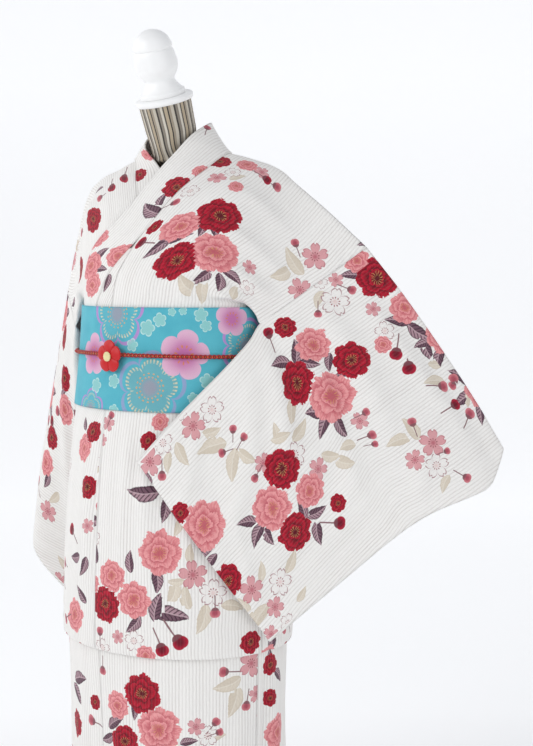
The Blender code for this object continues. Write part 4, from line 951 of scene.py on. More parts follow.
def own_places(places, flats, blank, reach):
    """Each corner's place in the nearest motif, with that motif's tone; FAR where none is near."""
    local = np.full((len(flats), 4, 3), FAR)
    if places:
        table = np.array([motif[1:] for motif in places], dtype=float)
        away = np.linalg.norm(flats.mean(axis=1)[:, None] - table[None, :, 0:2], axis=2) / table[None, :, 2]
        near = away.argmin(axis=1)
        close = ((away[np.arange(len(near)), near] < reach) & ~blank)[:, None]
        chosen = table[near]
        shift = flats - chosen[:, None, 0:2]
        cos = np.cos(chosen[:, 3])[:, None] / chosen[:, 2][:, None]
        sin = np.sin(chosen[:, 3])[:, None] / chosen[:, 2][:, None]
        local[..., 0] = np.where(close, shift[..., 0] * cos + shift[..., 1] * sin, FAR)
        local[..., 1] = np.where(close, shift[..., 1] * cos - shift[..., 0] * sin, FAR)
        local[..., 2] = chosen[:, 4][:, None]
    return local


def make_cloth(name, material):
    """The shell of a piece with its print's places, standing for the solid of the same name."""
    piece = PIECES[name]
    grid, normals, flat, half = piece["grid"], piece["normals"], piece["flat"], piece["half"]
    rows, cols = grid.shape[:2]
    ring = bool(piece["ring"])
    r, c = np.meshgrid(np.arange(rows - 1), np.arange(cols if ring else cols - 1), indexing="ij")
    r, c = r.ravel(), c.ravel()
    after = (c + 1) % cols
    quad = np.stack([r * cols + c, r * cols + after, (r + 1) * cols + after, (r + 1) * cols + c], axis=1)
    quad_flat = np.stack([flat[r, c], flat[r, c + 1], flat[r + 1, c + 1], flat[r + 1, c]], axis=1)
    corners = grid.reshape(-1, 3)[quad]
    out = np.cross(corners[:, 1] - corners[:, 0], corners[:, 3] - corners[:, 0])
    if np.einsum("ij,ij->", out, normals.reshape(-1, 3)[quad[:, 0]]) < 0:
        quad = quad[:, ::-1]
        quad_flat = quad_flat[:, ::-1]
    count = rows * cols
    edges = {}
    for index, face in enumerate(quad):
        for k in range(4):
            a, b = int(face[k]), int(face[(k + 1) % 4])
            if (b, a) in edges:
                del edges[(b, a)]
            else:
                edges[(a, b)] = (index, k)
    rim = []
    rim_flat = []
    for (a, b), (index, k) in edges.items():
        rim.append((b, a, a + count, b + count))
        at_a, at_b = quad_flat[index][k], quad_flat[index][(k + 1) % 4]
        rim_flat.append((at_b, at_a, at_a, at_b))
    faces = np.concatenate([quad, quad[:, ::-1] + count, np.array(rim)])
    flats = np.concatenate([quad_flat, quad_flat[:, ::-1], np.array(rim_flat)])
    sides = (grid + normals * half, grid - normals * half)
    points = np.concatenate([layer.reshape(-1, 3) for layer in sides])
    belt_cloth = name in BELT_PIECES
    item = add_mesh(
        "cloth_" + name, points.tolist(), faces.tolist(), flats.reshape(-1, 2), material,
        name,
    )
    blank = np.zeros(len(faces), dtype=bool)
    if piece["ring"] == "sleeve":
        strip = (r == rows - 2) | ((r == 0) & (grid[r, c][:, 2] < VENT_TOP))
        blank[:2 * len(quad)] = np.concatenate([strip, strip])
    once = flat[0, -1] - flat[0, 0]
    for kind in BELT_KINDS if belt_cloth else COTTON_KINDS:
        places = [motif for motif in piece["motifs"] if motif[0] == kind]
        if ring:
            shifts = (-once, once)
            places += [(m[0], m[1] + s[0], m[2] + s[1]) + m[3:] for m in places for s in shifts]
        set_print(item, kind, own_places(places, flats, blank, 3.4 if kind == "bud" else 1.7))
    corners = grid.reshape(-1, 3)[quad]
    diagonal = np.cross(corners[:, 2] - corners[:, 0], corners[:, 3] - corners[:, 1])


def picture_of(piece):
    """Where the camera has each point of a piece: column, row, distance, and whether it faces there."""
    x, y, depth = project(piece["grid"])
    return x, y, depth, np.einsum("ijk,ijk->ij", piece["normals"], EYE - piece["grid"]) > 0.0


def seen_place(names, pictures, px, py, turn):
    """The piece seen at a place of the picture: its name, grid index, flat place and the flat way of a
    direction in the picture."""
    best = None
    for name in names:
        x, y, depth, faces_eye = pictures[name]
        near = np.hypot(x - px, y - py) + np.where(faces_eye, 0.0, 50.0)
        ok = near < 5.0
        if not ok.any():
            continue
        score = np.where(ok, depth + near * 0.0004, 99.0)
        index = np.unravel_index(score.argmin(), depth.shape)
        if best is None or score[index] < best[0]:
            best = (score[index], name, index)
    if best is None:
        return None
    name, index = best[1:]
    x, y = pictures[name][:2]
    i = min(max(index[0], 1), x.shape[0] - 2)
    j = min(max(index[1], 1), x.shape[1] - 2)
    flat = PIECES[name]["flat"]
    picture = np.array([[on[i + 1, j] - on[i - 1, j], on[i, j + 1] - on[i, j - 1]] for on in (x, y)])
    cloth = np.array([flat[i + 1, j] - flat[i - 1, j], flat[i, j + 1] - flat[i, j - 1]]).T
    if abs(np.linalg.det(picture)) < 0.3:
        return name, index, flat[index][0], flat[index][1], turn
    to_flat = cloth @ np.linalg.inv(picture)
    shift = to_flat @ np.array([px - x[index], py - y[index]])
    way = to_flat @ np.array([math.cos(turn), -math.sin(turn)])
    u, v = flat[index] + np.clip(shift, -0.006, 0.006)
    return name, index, u, v, math.atan2(way[1], way[0])


def cells(x, y):
    """The coarse cells of the picture that points fall in."""
    row = np.clip((y / CELL).astype(int), 0, CELL_ROWS - 1)
    return row, np.clip((x / CELL).astype(int), 0, CELL_COLUMNS - 1)


def lay_print():
    """Place the print: by the table where the camera sees the cloth, in seeded clusters elsewhere."""
    chance = random.Random(7)
    names = [name for name in PIECES if name.startswith(("body", "gore", "skirt", "sleeve", "collar"))]
    seen = np.full((CELL_ROWS, CELL_COLUMNS), 99.0)
    pictures = {}
    for name in names:
        pictures[name] = picture_of(PIECES[name])
        x, y, depth = pictures[name][:3]
        near = (x > -MARGIN) & (x < CELL_COLUMNS * CELL) & (y > -MARGIN) & (y < CELL_ROWS * CELL)
        np.minimum.at(seen, cells(x, y), np.where(near, depth, 99.0))
    for kind, rows in PRINT.items():
        for px, py, radius, turn, tone in rows:
            found = seen_place(names, pictures, px, py, math.radians(turn))
            if found:
                name, index, u, v, way = found
                size = radius / (870.0 if kind == "leaf" else 1000.0)
                PIECES[name]["motifs"].append((kind, u, v, size, way, tone))
    for name in names:
        piece = PIECES[name]
        flat = piece["flat"]
        x, y, depth, faces_eye = pictures[name]
        inside = (x > 0) & (x < TABLE_WIDE) & (y > 0) & (y < TABLE_HIGH)
        visible = faces_eye & inside & (depth < seen[cells(x, y)] + BEHIND)
        rows, cols = depth.shape
        spots = [motif[1:3] for motif in piece["motifs"]]
        area = float(flat[..., 0].max() * flat[..., 1].max())
        for attempt in range(int(area * TRIES)):
            i, j = chance.randrange(rows), chance.randrange(cols)
            place = flat[i, j]
            least = chance.uniform(0.085, 0.125)
            if visible[i, j] or (spots and np.linalg.norm(np.array(spots) - place, axis=1).min() < least):
                continue
            cluster(piece["motifs"], place[0], place[1], chance)
            spots.append(tuple(place))


def cluster(motifs, u, v, chance):
    """A spray at one place: leaves below, two flowers or blossoms over them, a few buds."""
    pale = chance.random() < 0.4
    turn = chance.uniform(0.0, 6.28)
    size = chance.uniform(0.026, 0.037)

    def add(kind, away, angle, radius, way, tone):
        motifs.append((kind, u + away * math.cos(angle), v + away * math.sin(angle), radius, way, tone))

    for step in range(5):
        angle = turn + 1.0 + step * 0.95
        long = chance.uniform(0.016, 0.024)
        add("leaf", size * (0.75 if pale else 1.25), angle, long, angle, 0 if pale else 1)
    if pale:
        add("blossom", 0.0, turn, size * 0.68, turn, chance.randrange(2))
        add("blossom", 0.034, turn, size * 0.6, 1.0, 0)
    else:
        add("flower", 0.0, turn, size, turn, chance.randrange(2))
        add("flower", 0.048, turn, size * 0.72, 1.0, 1)
    for step in range(3):
        angle = turn + 2.4 + step * 0.5
        add("bud", 0.050 + 0.010 * step, angle, 0.010, angle, step % 2)


class Value:
    """A number, vector or colour inside a shader. The usual signs make math nodes."""

    def __init__(self, socket):
        self.socket = socket
        self.tree = socket.id_data

    def __add__(self, other):
        return calc("ADD", self, other)

    def __sub__(self, other):
        return calc("SUBTRACT", self, other)

    def __rsub__(self, other):
        return calc("SUBTRACT", other, self)

    def __mul__(self, other):
        return calc("MULTIPLY", self, other)

    def __truediv__(self, other):
        return calc("DIVIDE", self, other)


def put(value, socket):
    """Link a value to an input, or set the input to a plain number or colour."""
    if isinstance(value, Value):
        value.tree.links.new(value.socket, socket)
    else:
        socket.default_value = value


def node(tree, kind, inputs=(), **settings):
    """The outputs of one new shader node, whose inputs are given in order or by name."""
    made = tree.nodes.new("ShaderNode" + kind)
    for key, value in settings.items():
        setattr(made, key, value)
    for key, value in inputs.items() if isinstance(inputs, dict) else enumerate(inputs):
        put(value, made.inputs[key])
    return [Value(socket) for socket in made.outputs]


def calc(operation, *values):
    """The result of one math node."""
    tree = next(value.tree for value in values if isinstance(value, Value))
    return node(tree, "Math", values, operation=operation)[0]


def scaled(value, factor, more):
    """value * factor + more in one node."""
    return calc("MULTIPLY_ADD", value, factor, more)


def wave(value, speed, how="COSINE"):
    """A wave along a value."""
    return calc(how, value * speed)


def size_of(value):
    """The value without its sign."""
    return calc("ABSOLUTE", value)


def vector(operation, first, second):
    """The result of one vector node; a plain second number is a scale."""
    inputs = {0: first, ("Scale" if operation == "SCALE" else 1): second}
    return node(first.tree, "VectorMath", inputs, operation=operation)[0]


def blend(share, first, second):
    """One colour mixed over another."""
    return node(share.tree, "Mix", {0: share, 6: first, 7: second}, data_type="RGBA")[2]


def step_up(value, low, high):
    """0 below low, 1 above high, smooth between."""
    inputs = {"Value": value, "From Min": low, "From Max": high}
    return node(value.tree, "MapRange", inputs, interpolation_type="SMOOTHSTEP")[0]


def step_down(value, low, high):
    """1 below low, 0 above high, smooth between."""
    return 1.0 - step_up(value, low, high)


def band(value, start, full, end, past):
    """1 between full and end, fading to 0 at start and past."""
    return step_up(value, start, full) * step_down(value, end, past)


def ink(red, green, blue):
    """A linear colour from the values of a screen colour, 0 to 255."""
    shares = [value / 255.0 for value in (red, green, blue)]
    linear = [part / 12.92 if part < 0.04 else ((part + 0.055) / 1.055) ** 2.4 for part in shares]
    return tuple(linear) + (1.0,)


def local_place(kind, coarse, rough):
    """A motif's own coordinates, a little unsteady: radius, angle, tone."""
    where = node(coarse.tree, "Attribute", attribute_name="print_" + kind)[1]
    shake = vector("SCALE", vector("SUBTRACT", coarse, (0.5, 0.5, 0.5)), rough)
    x, y = node(coarse.tree, "SeparateXYZ", [vector("ADD", where, shake)])[:2]
    tone = node(coarse.tree, "SeparateXYZ", [where])[2]
    return calc("SQRT", x * x + y * y), calc("ARCTAN2", y, x), tone


def petals(radius, angle, count, low, power, phase=0.0):
    """Radius as a share of the outline of a ring of petals."""
    lobes = size_of(calc("COSINE", scaled(angle, count / 2.0, phase)))
    return radius / scaled(calc("POWER", lobes, power), 1.0 - low, low)


def pick(tone, first, second):
    """One of two colours by the motif's tone."""
    return blend(tone, ink(*first), ink(*second))


def flower_layer(under, coarse, streak):
    """Double flowers: ruffled rings of petals, light at the rims, rayed and dark in the middle."""
    radius, angle, tone = local_place("flower", coarse, 0.38)
    rays_at = node(coarse.tree, "CombineXYZ", [angle * 9.0, radius * 1.4, tone])[0]
    rays = noise(rays_at, 1.6, 3.0)[0]
    ragged = scaled(streak - 0.5, 0.16, radius)
    outer = petals(ragged, angle, 8, 0.84, 0.6)
    deep = pick(tone, (198, 98, 108), (96, 2, 22))
    middle = pick(tone, (224, 134, 138), (160, 6, 36))
    light = pick(tone, (240, 166, 166), (190, 16, 48))
    veined = blend(step_up(rays, 0.40, 0.62), middle, light)
    colour = blend(step_up(outer, 0.52, 0.80), deep, veined)
    for size, count, phase in ((0.74, 5, 0.8), (0.42, 4, 0.3)):
        ring = petals(ragged / size, angle, count, 0.70, 0.55, phase)
        cover = step_down(ring, 0.95, 1.0)
        colour = blend(band(ring, 0.9, 1.0, 1.0, 1.24) * 0.70, colour, deep)
        colour = blend(cover, colour, blend(step_up(ring, 0.42, 0.90), deep, veined))
        colour = blend(step_up(ring, 0.78, 0.90) * (cover * 0.55), colour, light)
    dots = step_up(size_of(wave(angle, 6.5)), 0.86, 0.96) * band(radius, 0.10, 0.14, 0.26, 0.32)
    colour = blend(dots * 0.6, colour, ink(224, 170, 108))
    return blend(step_down(outer, 0.97, 1.0), under, colour)


def blossom_layer(under, coarse):
    """Single blossoms of five notched petals, dusty rose or white with a thin outline, and stamens."""
    radius, angle, tone = local_place("blossom", coarse, 0.10)
    lobes = size_of(wave(angle, 2.5))
    reach = scaled(calc("POWER", lobes, 0.36), 0.80, 0.20) - step_up(lobes, 0.965, 1.0) * 0.13
    outline = radius / reach
    inside = step_down(outline, 0.95, 1.0)
    petal = pick(tone, (222, 162, 166), (243, 240, 236))
    centre = pick(tone, (192, 112, 122), (234, 214, 210))
    colour = blend(step_up(radius, 0.04, 0.30), centre, petal)
    line = step_up(outline, 0.85, 0.92) * inside
    colour = blend(line * 0.85, colour, pick(tone, (192, 126, 132), (156, 96, 104)))
    tips = step_up(size_of(wave(angle, 5.0)), 0.7, 0.9) * band(radius, 0.20, 0.24, 0.30, 0.36)
    return blend(inside, under, blend(tips, colour, ink(160, 92, 96)))


def leaf_layer(under, coarse, streak):
    """Broad pointed leaves with a rib and slanting veins, sage beige or dark mauve."""
    radius, angle, tone = local_place("leaf", coarse, 0.16)
    along = radius * calc("COSINE", angle)
    across = scaled(along * along, 0.16, radius * calc("SINE", angle) - 0.06)
    away = size_of(across)
    place = calc("MINIMUM", calc("MAXIMUM", scaled(along, 0.5, 0.5), 0.0), 1.0)
    width = wave(calc("POWER", place, 0.72), 3.1416, "SINE")
    width = calc("POWER", calc("MAXIMUM", width, 0.0001), 0.9) * 0.46
    depth = scaled(streak - 0.5, 0.10, width) - away
    vein = calc("SINE", scaled(along, 24.0, away * -22.0))
    halves = pick(tone, (218, 207, 190), (112, 80, 94)), pick(tone, (226, 216, 200), (176, 142, 152))
    fill = blend(step_up(across, -0.03, 0.03), *halves)
    colour = blend(step_down(depth, 0.02, 0.16) * 0.75, fill, pick(tone, (210, 197, 177), (66, 40, 54)))
    veins = step_up(vein, 0.2, 0.8) * scaled(tone, 0.62, 0.2)
    colour = blend(veins, colour, pick(tone, (204, 190, 170), (62, 38, 52)))
    rib = step_down(away, 0.02, 0.05) * 0.7
    colour = blend(rib, colour, pick(tone, (236, 229, 216), (206, 178, 184)))
    return blend(step_up(depth, 0.0, 0.05), under, colour)


def bud_layer(under, coarse):
    """Small round buds, each on a thin stalk."""
    radius, angle, tone = local_place("bud", coarse, 0.12)
    along = radius * calc("COSINE", angle)
    away = size_of(radius * calc("SINE", angle))
    stalk = step_down(away, 0.07, 0.13) * step_up(along, 0.2, 0.4) * step_down(along, 3.0, 3.2)
    inside = step_down(petals(radius, angle, 3, 0.84, 0.8), 0.9, 1.0)
    rim = pick(tone, (212, 126, 134), (178, 22, 54))
    colour = blend(step_up(radius, 0.2, 0.9), pick(tone, (172, 76, 92), (112, 8, 34)), rim)
    colour = blend(step_up(along, 0.25, 0.5) * 0.8, colour, ink(112, 78, 84))
    return blend(inside, blend(stalk, under, ink(140, 104, 108)), colour)


def new_material(name, roughness, sheen=0.0, shine=0.3):
    """A material and its shader; numbers that are the same all over stay on the shader."""
    made = bpy.data.materials.new(name)
    made.use_nodes = True
    shader = made.node_tree.nodes["Principled BSDF"]
    shader.inputs["Roughness"].default_value = roughness
    shader.inputs["Sheen Weight"].default_value = sheen
    shader.inputs["Specular IOR Level"].default_value = shine
    return made, shader


def cloth_flat(made):
    """The flat cloth's coordinates in metres: vector, across, along."""
    place = node(made.node_tree, "UVMap", uv_map="cloth")[0]
    return [place] + node(place.tree, "SeparateXYZ", [place])[:2]


def noise(place, scale, detail=2.0, stretch=None):
    """A noise texture: its value and colour."""
    if stretch:
        place = vector("MULTIPLY", place, stretch)
    return node(place.tree, "TexNoise", {"Vector": place, "Scale": scale, "Detail": detail})


def give_surface(shader, colour, height, distance):
    """Give a shader its colour, and raise the surface by a height from 0 to 1."""
    put(colour, shader.inputs["Base Color"])
    bump = node(height.tree, "Bump", {"Height": height, "Distance": distance, "Strength": 1.0})[0]
    put(bump, shader.inputs["Normal"])


def cotton_material():
    """White cotton with crinkled warp stripes and the big flower print."""
    made, shader = new_material("cotton", 0.86, 0.12)
    place, across, along = cloth_flat(made)
    coarse = noise(place, 62.0)[1]
    streak = noise(place, 330.0, 1.0)[0]
    uneven = noise(place, 24.0, 2.0, (1.0, 0.25, 1.0))[0]
    phase = calc("FRACT", scaled(uneven, 0.0016, across) / 0.0053)
    stripe = step_down(size_of(phase - 0.5), 0.10, 0.24)
    heavy = scaled(step_up(calc("FRACT", across / 0.0371), 0.35, 0.6), 0.35, 0.65)
    stripe_tone = stripe * (heavy * scaled(uneven, 0.8, 0.15))
    colour = blend(stripe_tone * 0.72, ink(246, 244, 240), ink(202, 196, 190))
    colour = leaf_layer(colour, coarse, streak)
    colour = blossom_layer(colour, coarse)
    colour = flower_layer(colour, coarse, streak)
    colour = bud_layer(colour, coarse)
    thread = noise(place, 900.0, 1.0, (2.2, 0.35, 1.0))[0]
    colour = blend(stripe_tone * 0.05, colour, ink(236, 214, 212))
    colour = blend(step_up(thread, 0.45, 0.75) * 0.07, colour, ink(120, 110, 106))
    crinkle = noise(place, 150.0, 3.0, (2.4, 0.55, 1.0))[0]
    give_surface(shader, colour, scaled(stripe, 0.30, crinkle * 0.75), 0.0011)
    return made


def belt_material():
    """Teal belt cloth with plum blossoms, dotted outlines and small sprigs."""
    made, shader = new_material("belt_cloth", 0.72, 0.1)
    place, across, along = cloth_flat(made)
    coarse = noise(place, 80.0)[1]
    weave = noise(place, 1100.0, 1.0)[0]
    colour = blend(noise(place, 30.0)[0], ink(76, 178, 200), ink(104, 204, 218))
    radius, angle, tone = local_place("outline", coarse, 0.05)
    share = petals(radius, angle, 5, 0.66, 0.45)
    colour = blend(step_down(share, 0.97, 1.0) * scaled(tone, -0.35, 0.45), colour, ink(130, 176, 178))
    beads = step_up(wave(angle, 46.0), -0.2, 0.5)
    for low, high, tint in ((0.90, 0.96, (226, 220, 186)), (0.84, 0.87, (200, 206, 186))):
        colour = blend(band(share, low - 0.02, low, high, high + 0.02) * beads, colour, ink(*tint))
    colour = blend(band(share, 1.10, 1.14, 1.24, 1.28) * scaled(tone, 0.5, 0.5), colour, ink(190, 150, 215))
    colour = blend(step_down(radius, 0.16, 0.44) * 0.8, colour, ink(168, 160, 176))
    burst = step_up(wave(angle, 17.0), 0.2, 0.7) * step_up(wave(radius, 52.0), 0.1, 0.6)
    colour = blend(band(radius, 0.26, 0.30, 0.50, 0.56) * burst, colour, ink(236, 176, 110))
    radius, angle, tone = local_place("plum", coarse, 0.05)
    share = petals(radius, angle, 5, 0.62, 0.42)
    petal = blend(step_up(radius, 0.15, 0.95), ink(206, 120, 178), ink(238, 192, 218))
    dots = step_up(wave(angle, 11.0), 0.3, 0.8) * band(radius, 0.24, 0.28, 0.36, 0.40)
    colour = blend(step_down(share, 0.97, 1.0), colour, blend(dots, petal, ink(226, 140, 96)))
    radius, angle, tone = local_place("sprig", coarse, 0.06)
    share = petals(radius, angle, 5, 0.5, 0.42)
    small = blend(step_up(share, 0.78, 0.86), ink(158, 218, 214), ink(206, 240, 234))
    colour = blend(step_down(share, 0.95, 1.0) * 0.85, colour, small)
    colour = blend(step_up(weave, 0.4, 0.7) * 0.10, colour, ink(30, 80, 96))
    give_surface(shader, colour, scaled(size_of(wave(across, 3700.0, "SINE")), 0.4, weave * 0.6), 0.0005)
    return made


def cord_material():
    """Red braid with gold picks, darker red in the grooves between strands as painted shade; the flat
    coordinates run round and along the cord.
    """
    made, shader = new_material("cord", 0.55, 0.15)
    place, round_it, along = cloth_flat(made)
    one, two = [calc("SINE", scaled(along, STRANDS, round_it * turn)) for turn in (12.566, -12.566)]
    braid = (one + two) * 0.5
    # Darker red where the braid's height sinks: painted shade in the grooves between the strands.
    colour = blend(step_up(braid, -0.6, 0.5), ink(96, 8, 14), ink(190, 26, 28))
    colour = blend(step_up(one * two, 0.72, 0.86) * 0.8, colour, ink(226, 176, 96))
    give_surface(shader, colour, braid, 0.0006)
    return made


def satin_material(name, colour, roughness, mottle):
    """Painted, lacquered or moulded surface with a little unevenness."""
    made, shader = new_material(name, roughness, 0.0, 0.5)
    place = node(made.node_tree, "TexCoord")[3]
    value = noise(place, 60.0, 3.0)[0]
    dark = tuple(channel * (1.0 - mottle) for channel in colour[:3]) + (1.0,)
    ends = {"Value": value, "To Min": roughness - 0.06, "To Max": roughness + 0.08}
    put(node(place.tree, "MapRange", ends)[0], shader.inputs["Roughness"])
    give_surface(shader, blend(value, dark, colour), noise(place, 220.0)[0], 0.0002)
    return made


def jersey_material():
    """Striped knit: uneven black, grey, cream and beige lengthwise stripes."""
    made, shader = new_material("jersey", 0.9, 0.2)
    place, across, along = cloth_flat(made)
    stripes = node(place.tree, "ValToRGB", [calc("FRACT", across * 9.0)])[0]
    ramp = stripes.socket.node.color_ramp
    ramp.interpolation = "CONSTANT"
    stops = [
        (0.0, (212, 204, 188)), (0.17, (60, 56, 54)), (0.27, (150, 142, 130)), (0.42, (226, 220, 206)),
        (0.55, (92, 86, 80)), (0.63, (196, 180, 154)), (0.80, (48, 46, 46)), (0.87, (172, 160, 142)),
    ]
    while len(ramp.elements) < len(stops):
        ramp.elements.new(0.5)
    for element, (position, tint) in zip(ramp.elements, stops):
        element.position = position
        element.color = ink(*tint)
    fuzz = noise(place, 500.0)[0]
    colour = blend(fuzz * 0.3, stripes, ink(120, 112, 104))
    give_surface(shader, colour, scaled(size_of(wave(along, 1500.0, "SINE")), 0.5, fuzz * 0.5), 0.0006)
    return made


def circle(count):
    """Angles evenly spaced round a circle."""
    return np.arange(count) * 2 * math.pi / count


def skin(name, rings, material, node_name):
    """A smooth closed skin over rings of points, standing for a solid."""
    rows, cols = len(rings), len(rings[0])
    steps = [np.linalg.norm(b - a, axis=1).mean() for a, b in zip(rings, rings[1:])]
    run = np.concatenate([[0.0], np.cumsum(steps)])
    faces = []
    uv = []
    for r in range(rows - 1):
        for c in range(cols):
            b = (c + 1) % cols
            faces.append((r * cols + c, r * cols + b, (r + 1) * cols + b, (r + 1) * cols + c))
            low, high = c / cols, (c + 1) / cols
            uv += [(low, run[r]), (high, run[r]), (high, run[r + 1]), (low, run[r + 1])]
    faces.append(tuple(range(cols - 1, -1, -1)))
    faces.append(tuple((rows - 1) * cols + c for c in range(cols)))
    uv += [(0.0, 0.0)] * (2 * cols)
    item = add_mesh(name, np.vstack(rings).tolist(), faces, uv, material, node_name)
    item.data.set_sharp_from_angle(angle=math.radians(50.0))
    return item


def turned_rings(base, lean, profile, sides, steps):
    """Rings of a turned form whose axis leans forward, on a smooth line through its profile."""
    axis = np.array([0.0, -math.sin(lean), math.cos(lean)])
    across = np.array([1.0, 0.0, 0.0])
    turn = circle(sides)[:, None]
    around = np.cos(turn) * across + np.sin(turn) * np.cross(axis, across)
    line = path(profile, np.linspace(0.0, 1.0, steps * len(profile)))
    return [np.array(base) + axis * height + radius * around for radius, height in line]


def torso_rings():
    """The padded form and its neck on a smooth line through its sections."""
    heights = np.array([row[0] for row in TORSO])
    at = np.concatenate([np.linspace(a, b, 9)[:-1] for a, b in zip(heights, heights[1:])] + [heights[-1:]])
    rings = []
    turn = circle(120)
    for height, (wide, deep, middle) in zip(at, follow(TORSO, at)):
        lean = min(max(0.0, height - 1.33) / 0.12, 1.0) * math.tan(LEAN)
        y = middle + deep * np.sin(turn)
        rings.append(np.stack([wide * np.cos(turn), y, height + (y - middle) * lean], axis=-1))
    return rings


def cord_piece(material):
    """The braided cord round the belt, its strands raised a little."""
    turn = np.linspace(0.0, 360.0, 721)[:-1]
    line = body(turn, CORD_HIGH + 0.003 * np.cos(np.radians(turn)), CORD_OUT)
    run = np.concatenate([[0.0], np.cumsum(np.linalg.norm(np.roll(line, -1, axis=0) - line, axis=1))])
    along = np.roll(line, -1, axis=0) - np.roll(line, 1, axis=0)
    along /= np.linalg.norm(along, axis=1, keepdims=True)
    side = np.cross(along, UP)
    side /= np.linalg.norm(side, axis=1, keepdims=True)
    rise = np.cross(side, along)
    sides = 18
    angle = circle(sides)
    strands = run[:-1, None] * STRANDS
    radius = CORD_RADIUS + 0.00022 * (np.sin(strands + angle * 2) + np.sin(strands - angle * 2))
    away = side[:, None] * np.cos(angle)[:, None] + rise[:, None] * np.sin(angle)[:, None]
    points = line[:, None] + radius[..., None] * away
    faces = []
    uv = []
    for r in range(len(line)):
        n = (r + 1) % len(line)
        for c in range(sides):
            b = (c + 1) % sides
            faces.append((r * sides + c, n * sides + c, n * sides + b, r * sides + b))
            low, high = c / sides, (c + 1) / sides
            uv += [(low, run[r]), (low, run[r + 1]), (high, run[r + 1]), (high, run[r])]
    add_mesh("braided_cord", points.reshape(-1, 3).tolist(), faces, uv, material, "cord")


def clasp_piece(red, cream):
    """The clasp: five cupped petals with a groove between, and a domed middle of small beads."""
    angle = math.radians(CLASP_ANGLE)
    at = body(CLASP_ANGLE, CORD_HIGH, 0.0140)
    out = np.array([math.sin(angle), -math.cos(angle), 0.0])
    side = np.array([math.cos(angle), math.sin(angle), 0.0])
    turn = circle(120)
    petal = np.abs(np.cos(2.5 * turn)) ** 0.5
    around = side * np.sin(turn)[:, None] + UP * np.cos(turn)[:, None]

    def ring(radius, depth):
        depth = depth + 0.0 * turn
        return at + radius[:, None] * around + out * depth[:, None]

    lobes = 0.0194 + 0.0068 * petal
    rings = [ring(0.94 * lobes, -0.0022), ring(1.0 * lobes, -0.0004)]
    for share in (0.97, 0.90, 0.80, 0.68, 0.55, 0.42, 0.30):
        swell = math.sin(min(1.0, (1.0 - share) / 0.5) * math.pi / 2.0)
        rings.append(ring(share * lobes, 0.0004 + 0.0030 * swell * (0.45 + 0.55 * petal)))
    skin("clasp_petals", rings, red, "clasp_flower")
    dome = ((0.30, 0.0035), (0.335, 0.0042), (0.33, 0.0054), (0.27, 0.0064), (0.17, 0.0069), (0.05, 0.0071))
    beads = 0.0003 * np.cos(12 * turn)
    rings = [ring(share * np.full(120, 0.0228), depth + beads * (share > 0.1)) for share, depth in dome]
    skin("clasp_middle", rings, cream, "clasp_centre")


def knot_piece(material):
    """The folded wrap over the middle of the bow, with its lengthwise folds."""
    rings = []
    size, centre = (0.030, 0.026, 0.122), (0.0, 0.158, 1.045)
    turn = circle(96)
    for share in np.linspace(-0.5, 0.5, 41):
        edge = min(1.0, (0.5 - abs(share)) / 0.05)
        inset = 0.006 * (1.0 - math.sqrt(1.0 - (1.0 - edge) ** 2))
        fold = 0.0006 * np.cos(turn * 12 + share * 3.0)
        x, y = [
            np.sign(part) * np.abs(part) ** 0.5 * (size[axis] / 2 - inset - fold)
            for axis, part in enumerate((np.cos(turn), np.sin(turn)))
        ]
        height = np.full(96, centre[2] + share * size[2])
        rings.append(np.stack([centre[0] + x, centre[1] + y, height], axis=-1))
    item = skin("bow_wrap", rings, material, "bow_knot")
    for kind in BELT_KINDS:
        set_print(item, kind, np.full(len(item.data.loops) * 3, FAR))


def lay_belt_print():
    """The belt's motifs: by the table in front, seeded all round behind and on the bow."""
    chance = random.Random(11)
    choices = (("outline", 0.036), ("plum", 0.024), ("sprig", 0.011), ("sprig", 0.010))
    for name in BELT_PIECES:
        piece = PIECES[name]
        points = piece["grid"].reshape(-1, 3)
        flat = piece["flat"][:, :piece["grid"].shape[1]].reshape(-1, 2)
        spots = []
        for kind, px, py, radius, turn, tone in BELT_PRINT if name == "obi" else ():
            found = seen_place(["obi"], {"obi": picture_of(piece)}, px, py, math.radians(turn))
            if found:
                piece["motifs"].append((kind, found[2], found[3], radius / 1000.0, found[4], tone))
                spots.append(piece["grid"][found[1]])
        for attempt in range(500):
            index = chance.randrange(len(points))
            kind, radius = chance.choice(choices)
            reach = radius * (1.0 if kind == "sprig" else 1.15) + 0.022
            if name == "obi" and points[index][1] < -0.04:
                continue
            if spots and np.linalg.norm(np.array(spots) - points[index], axis=1).min() < reach:
                continue
            u, v = flat[index]
            piece["motifs"].append((kind, u, v, radius, chance.uniform(0, 6.28), chance.randrange(2)))
            spots.append(points[index])


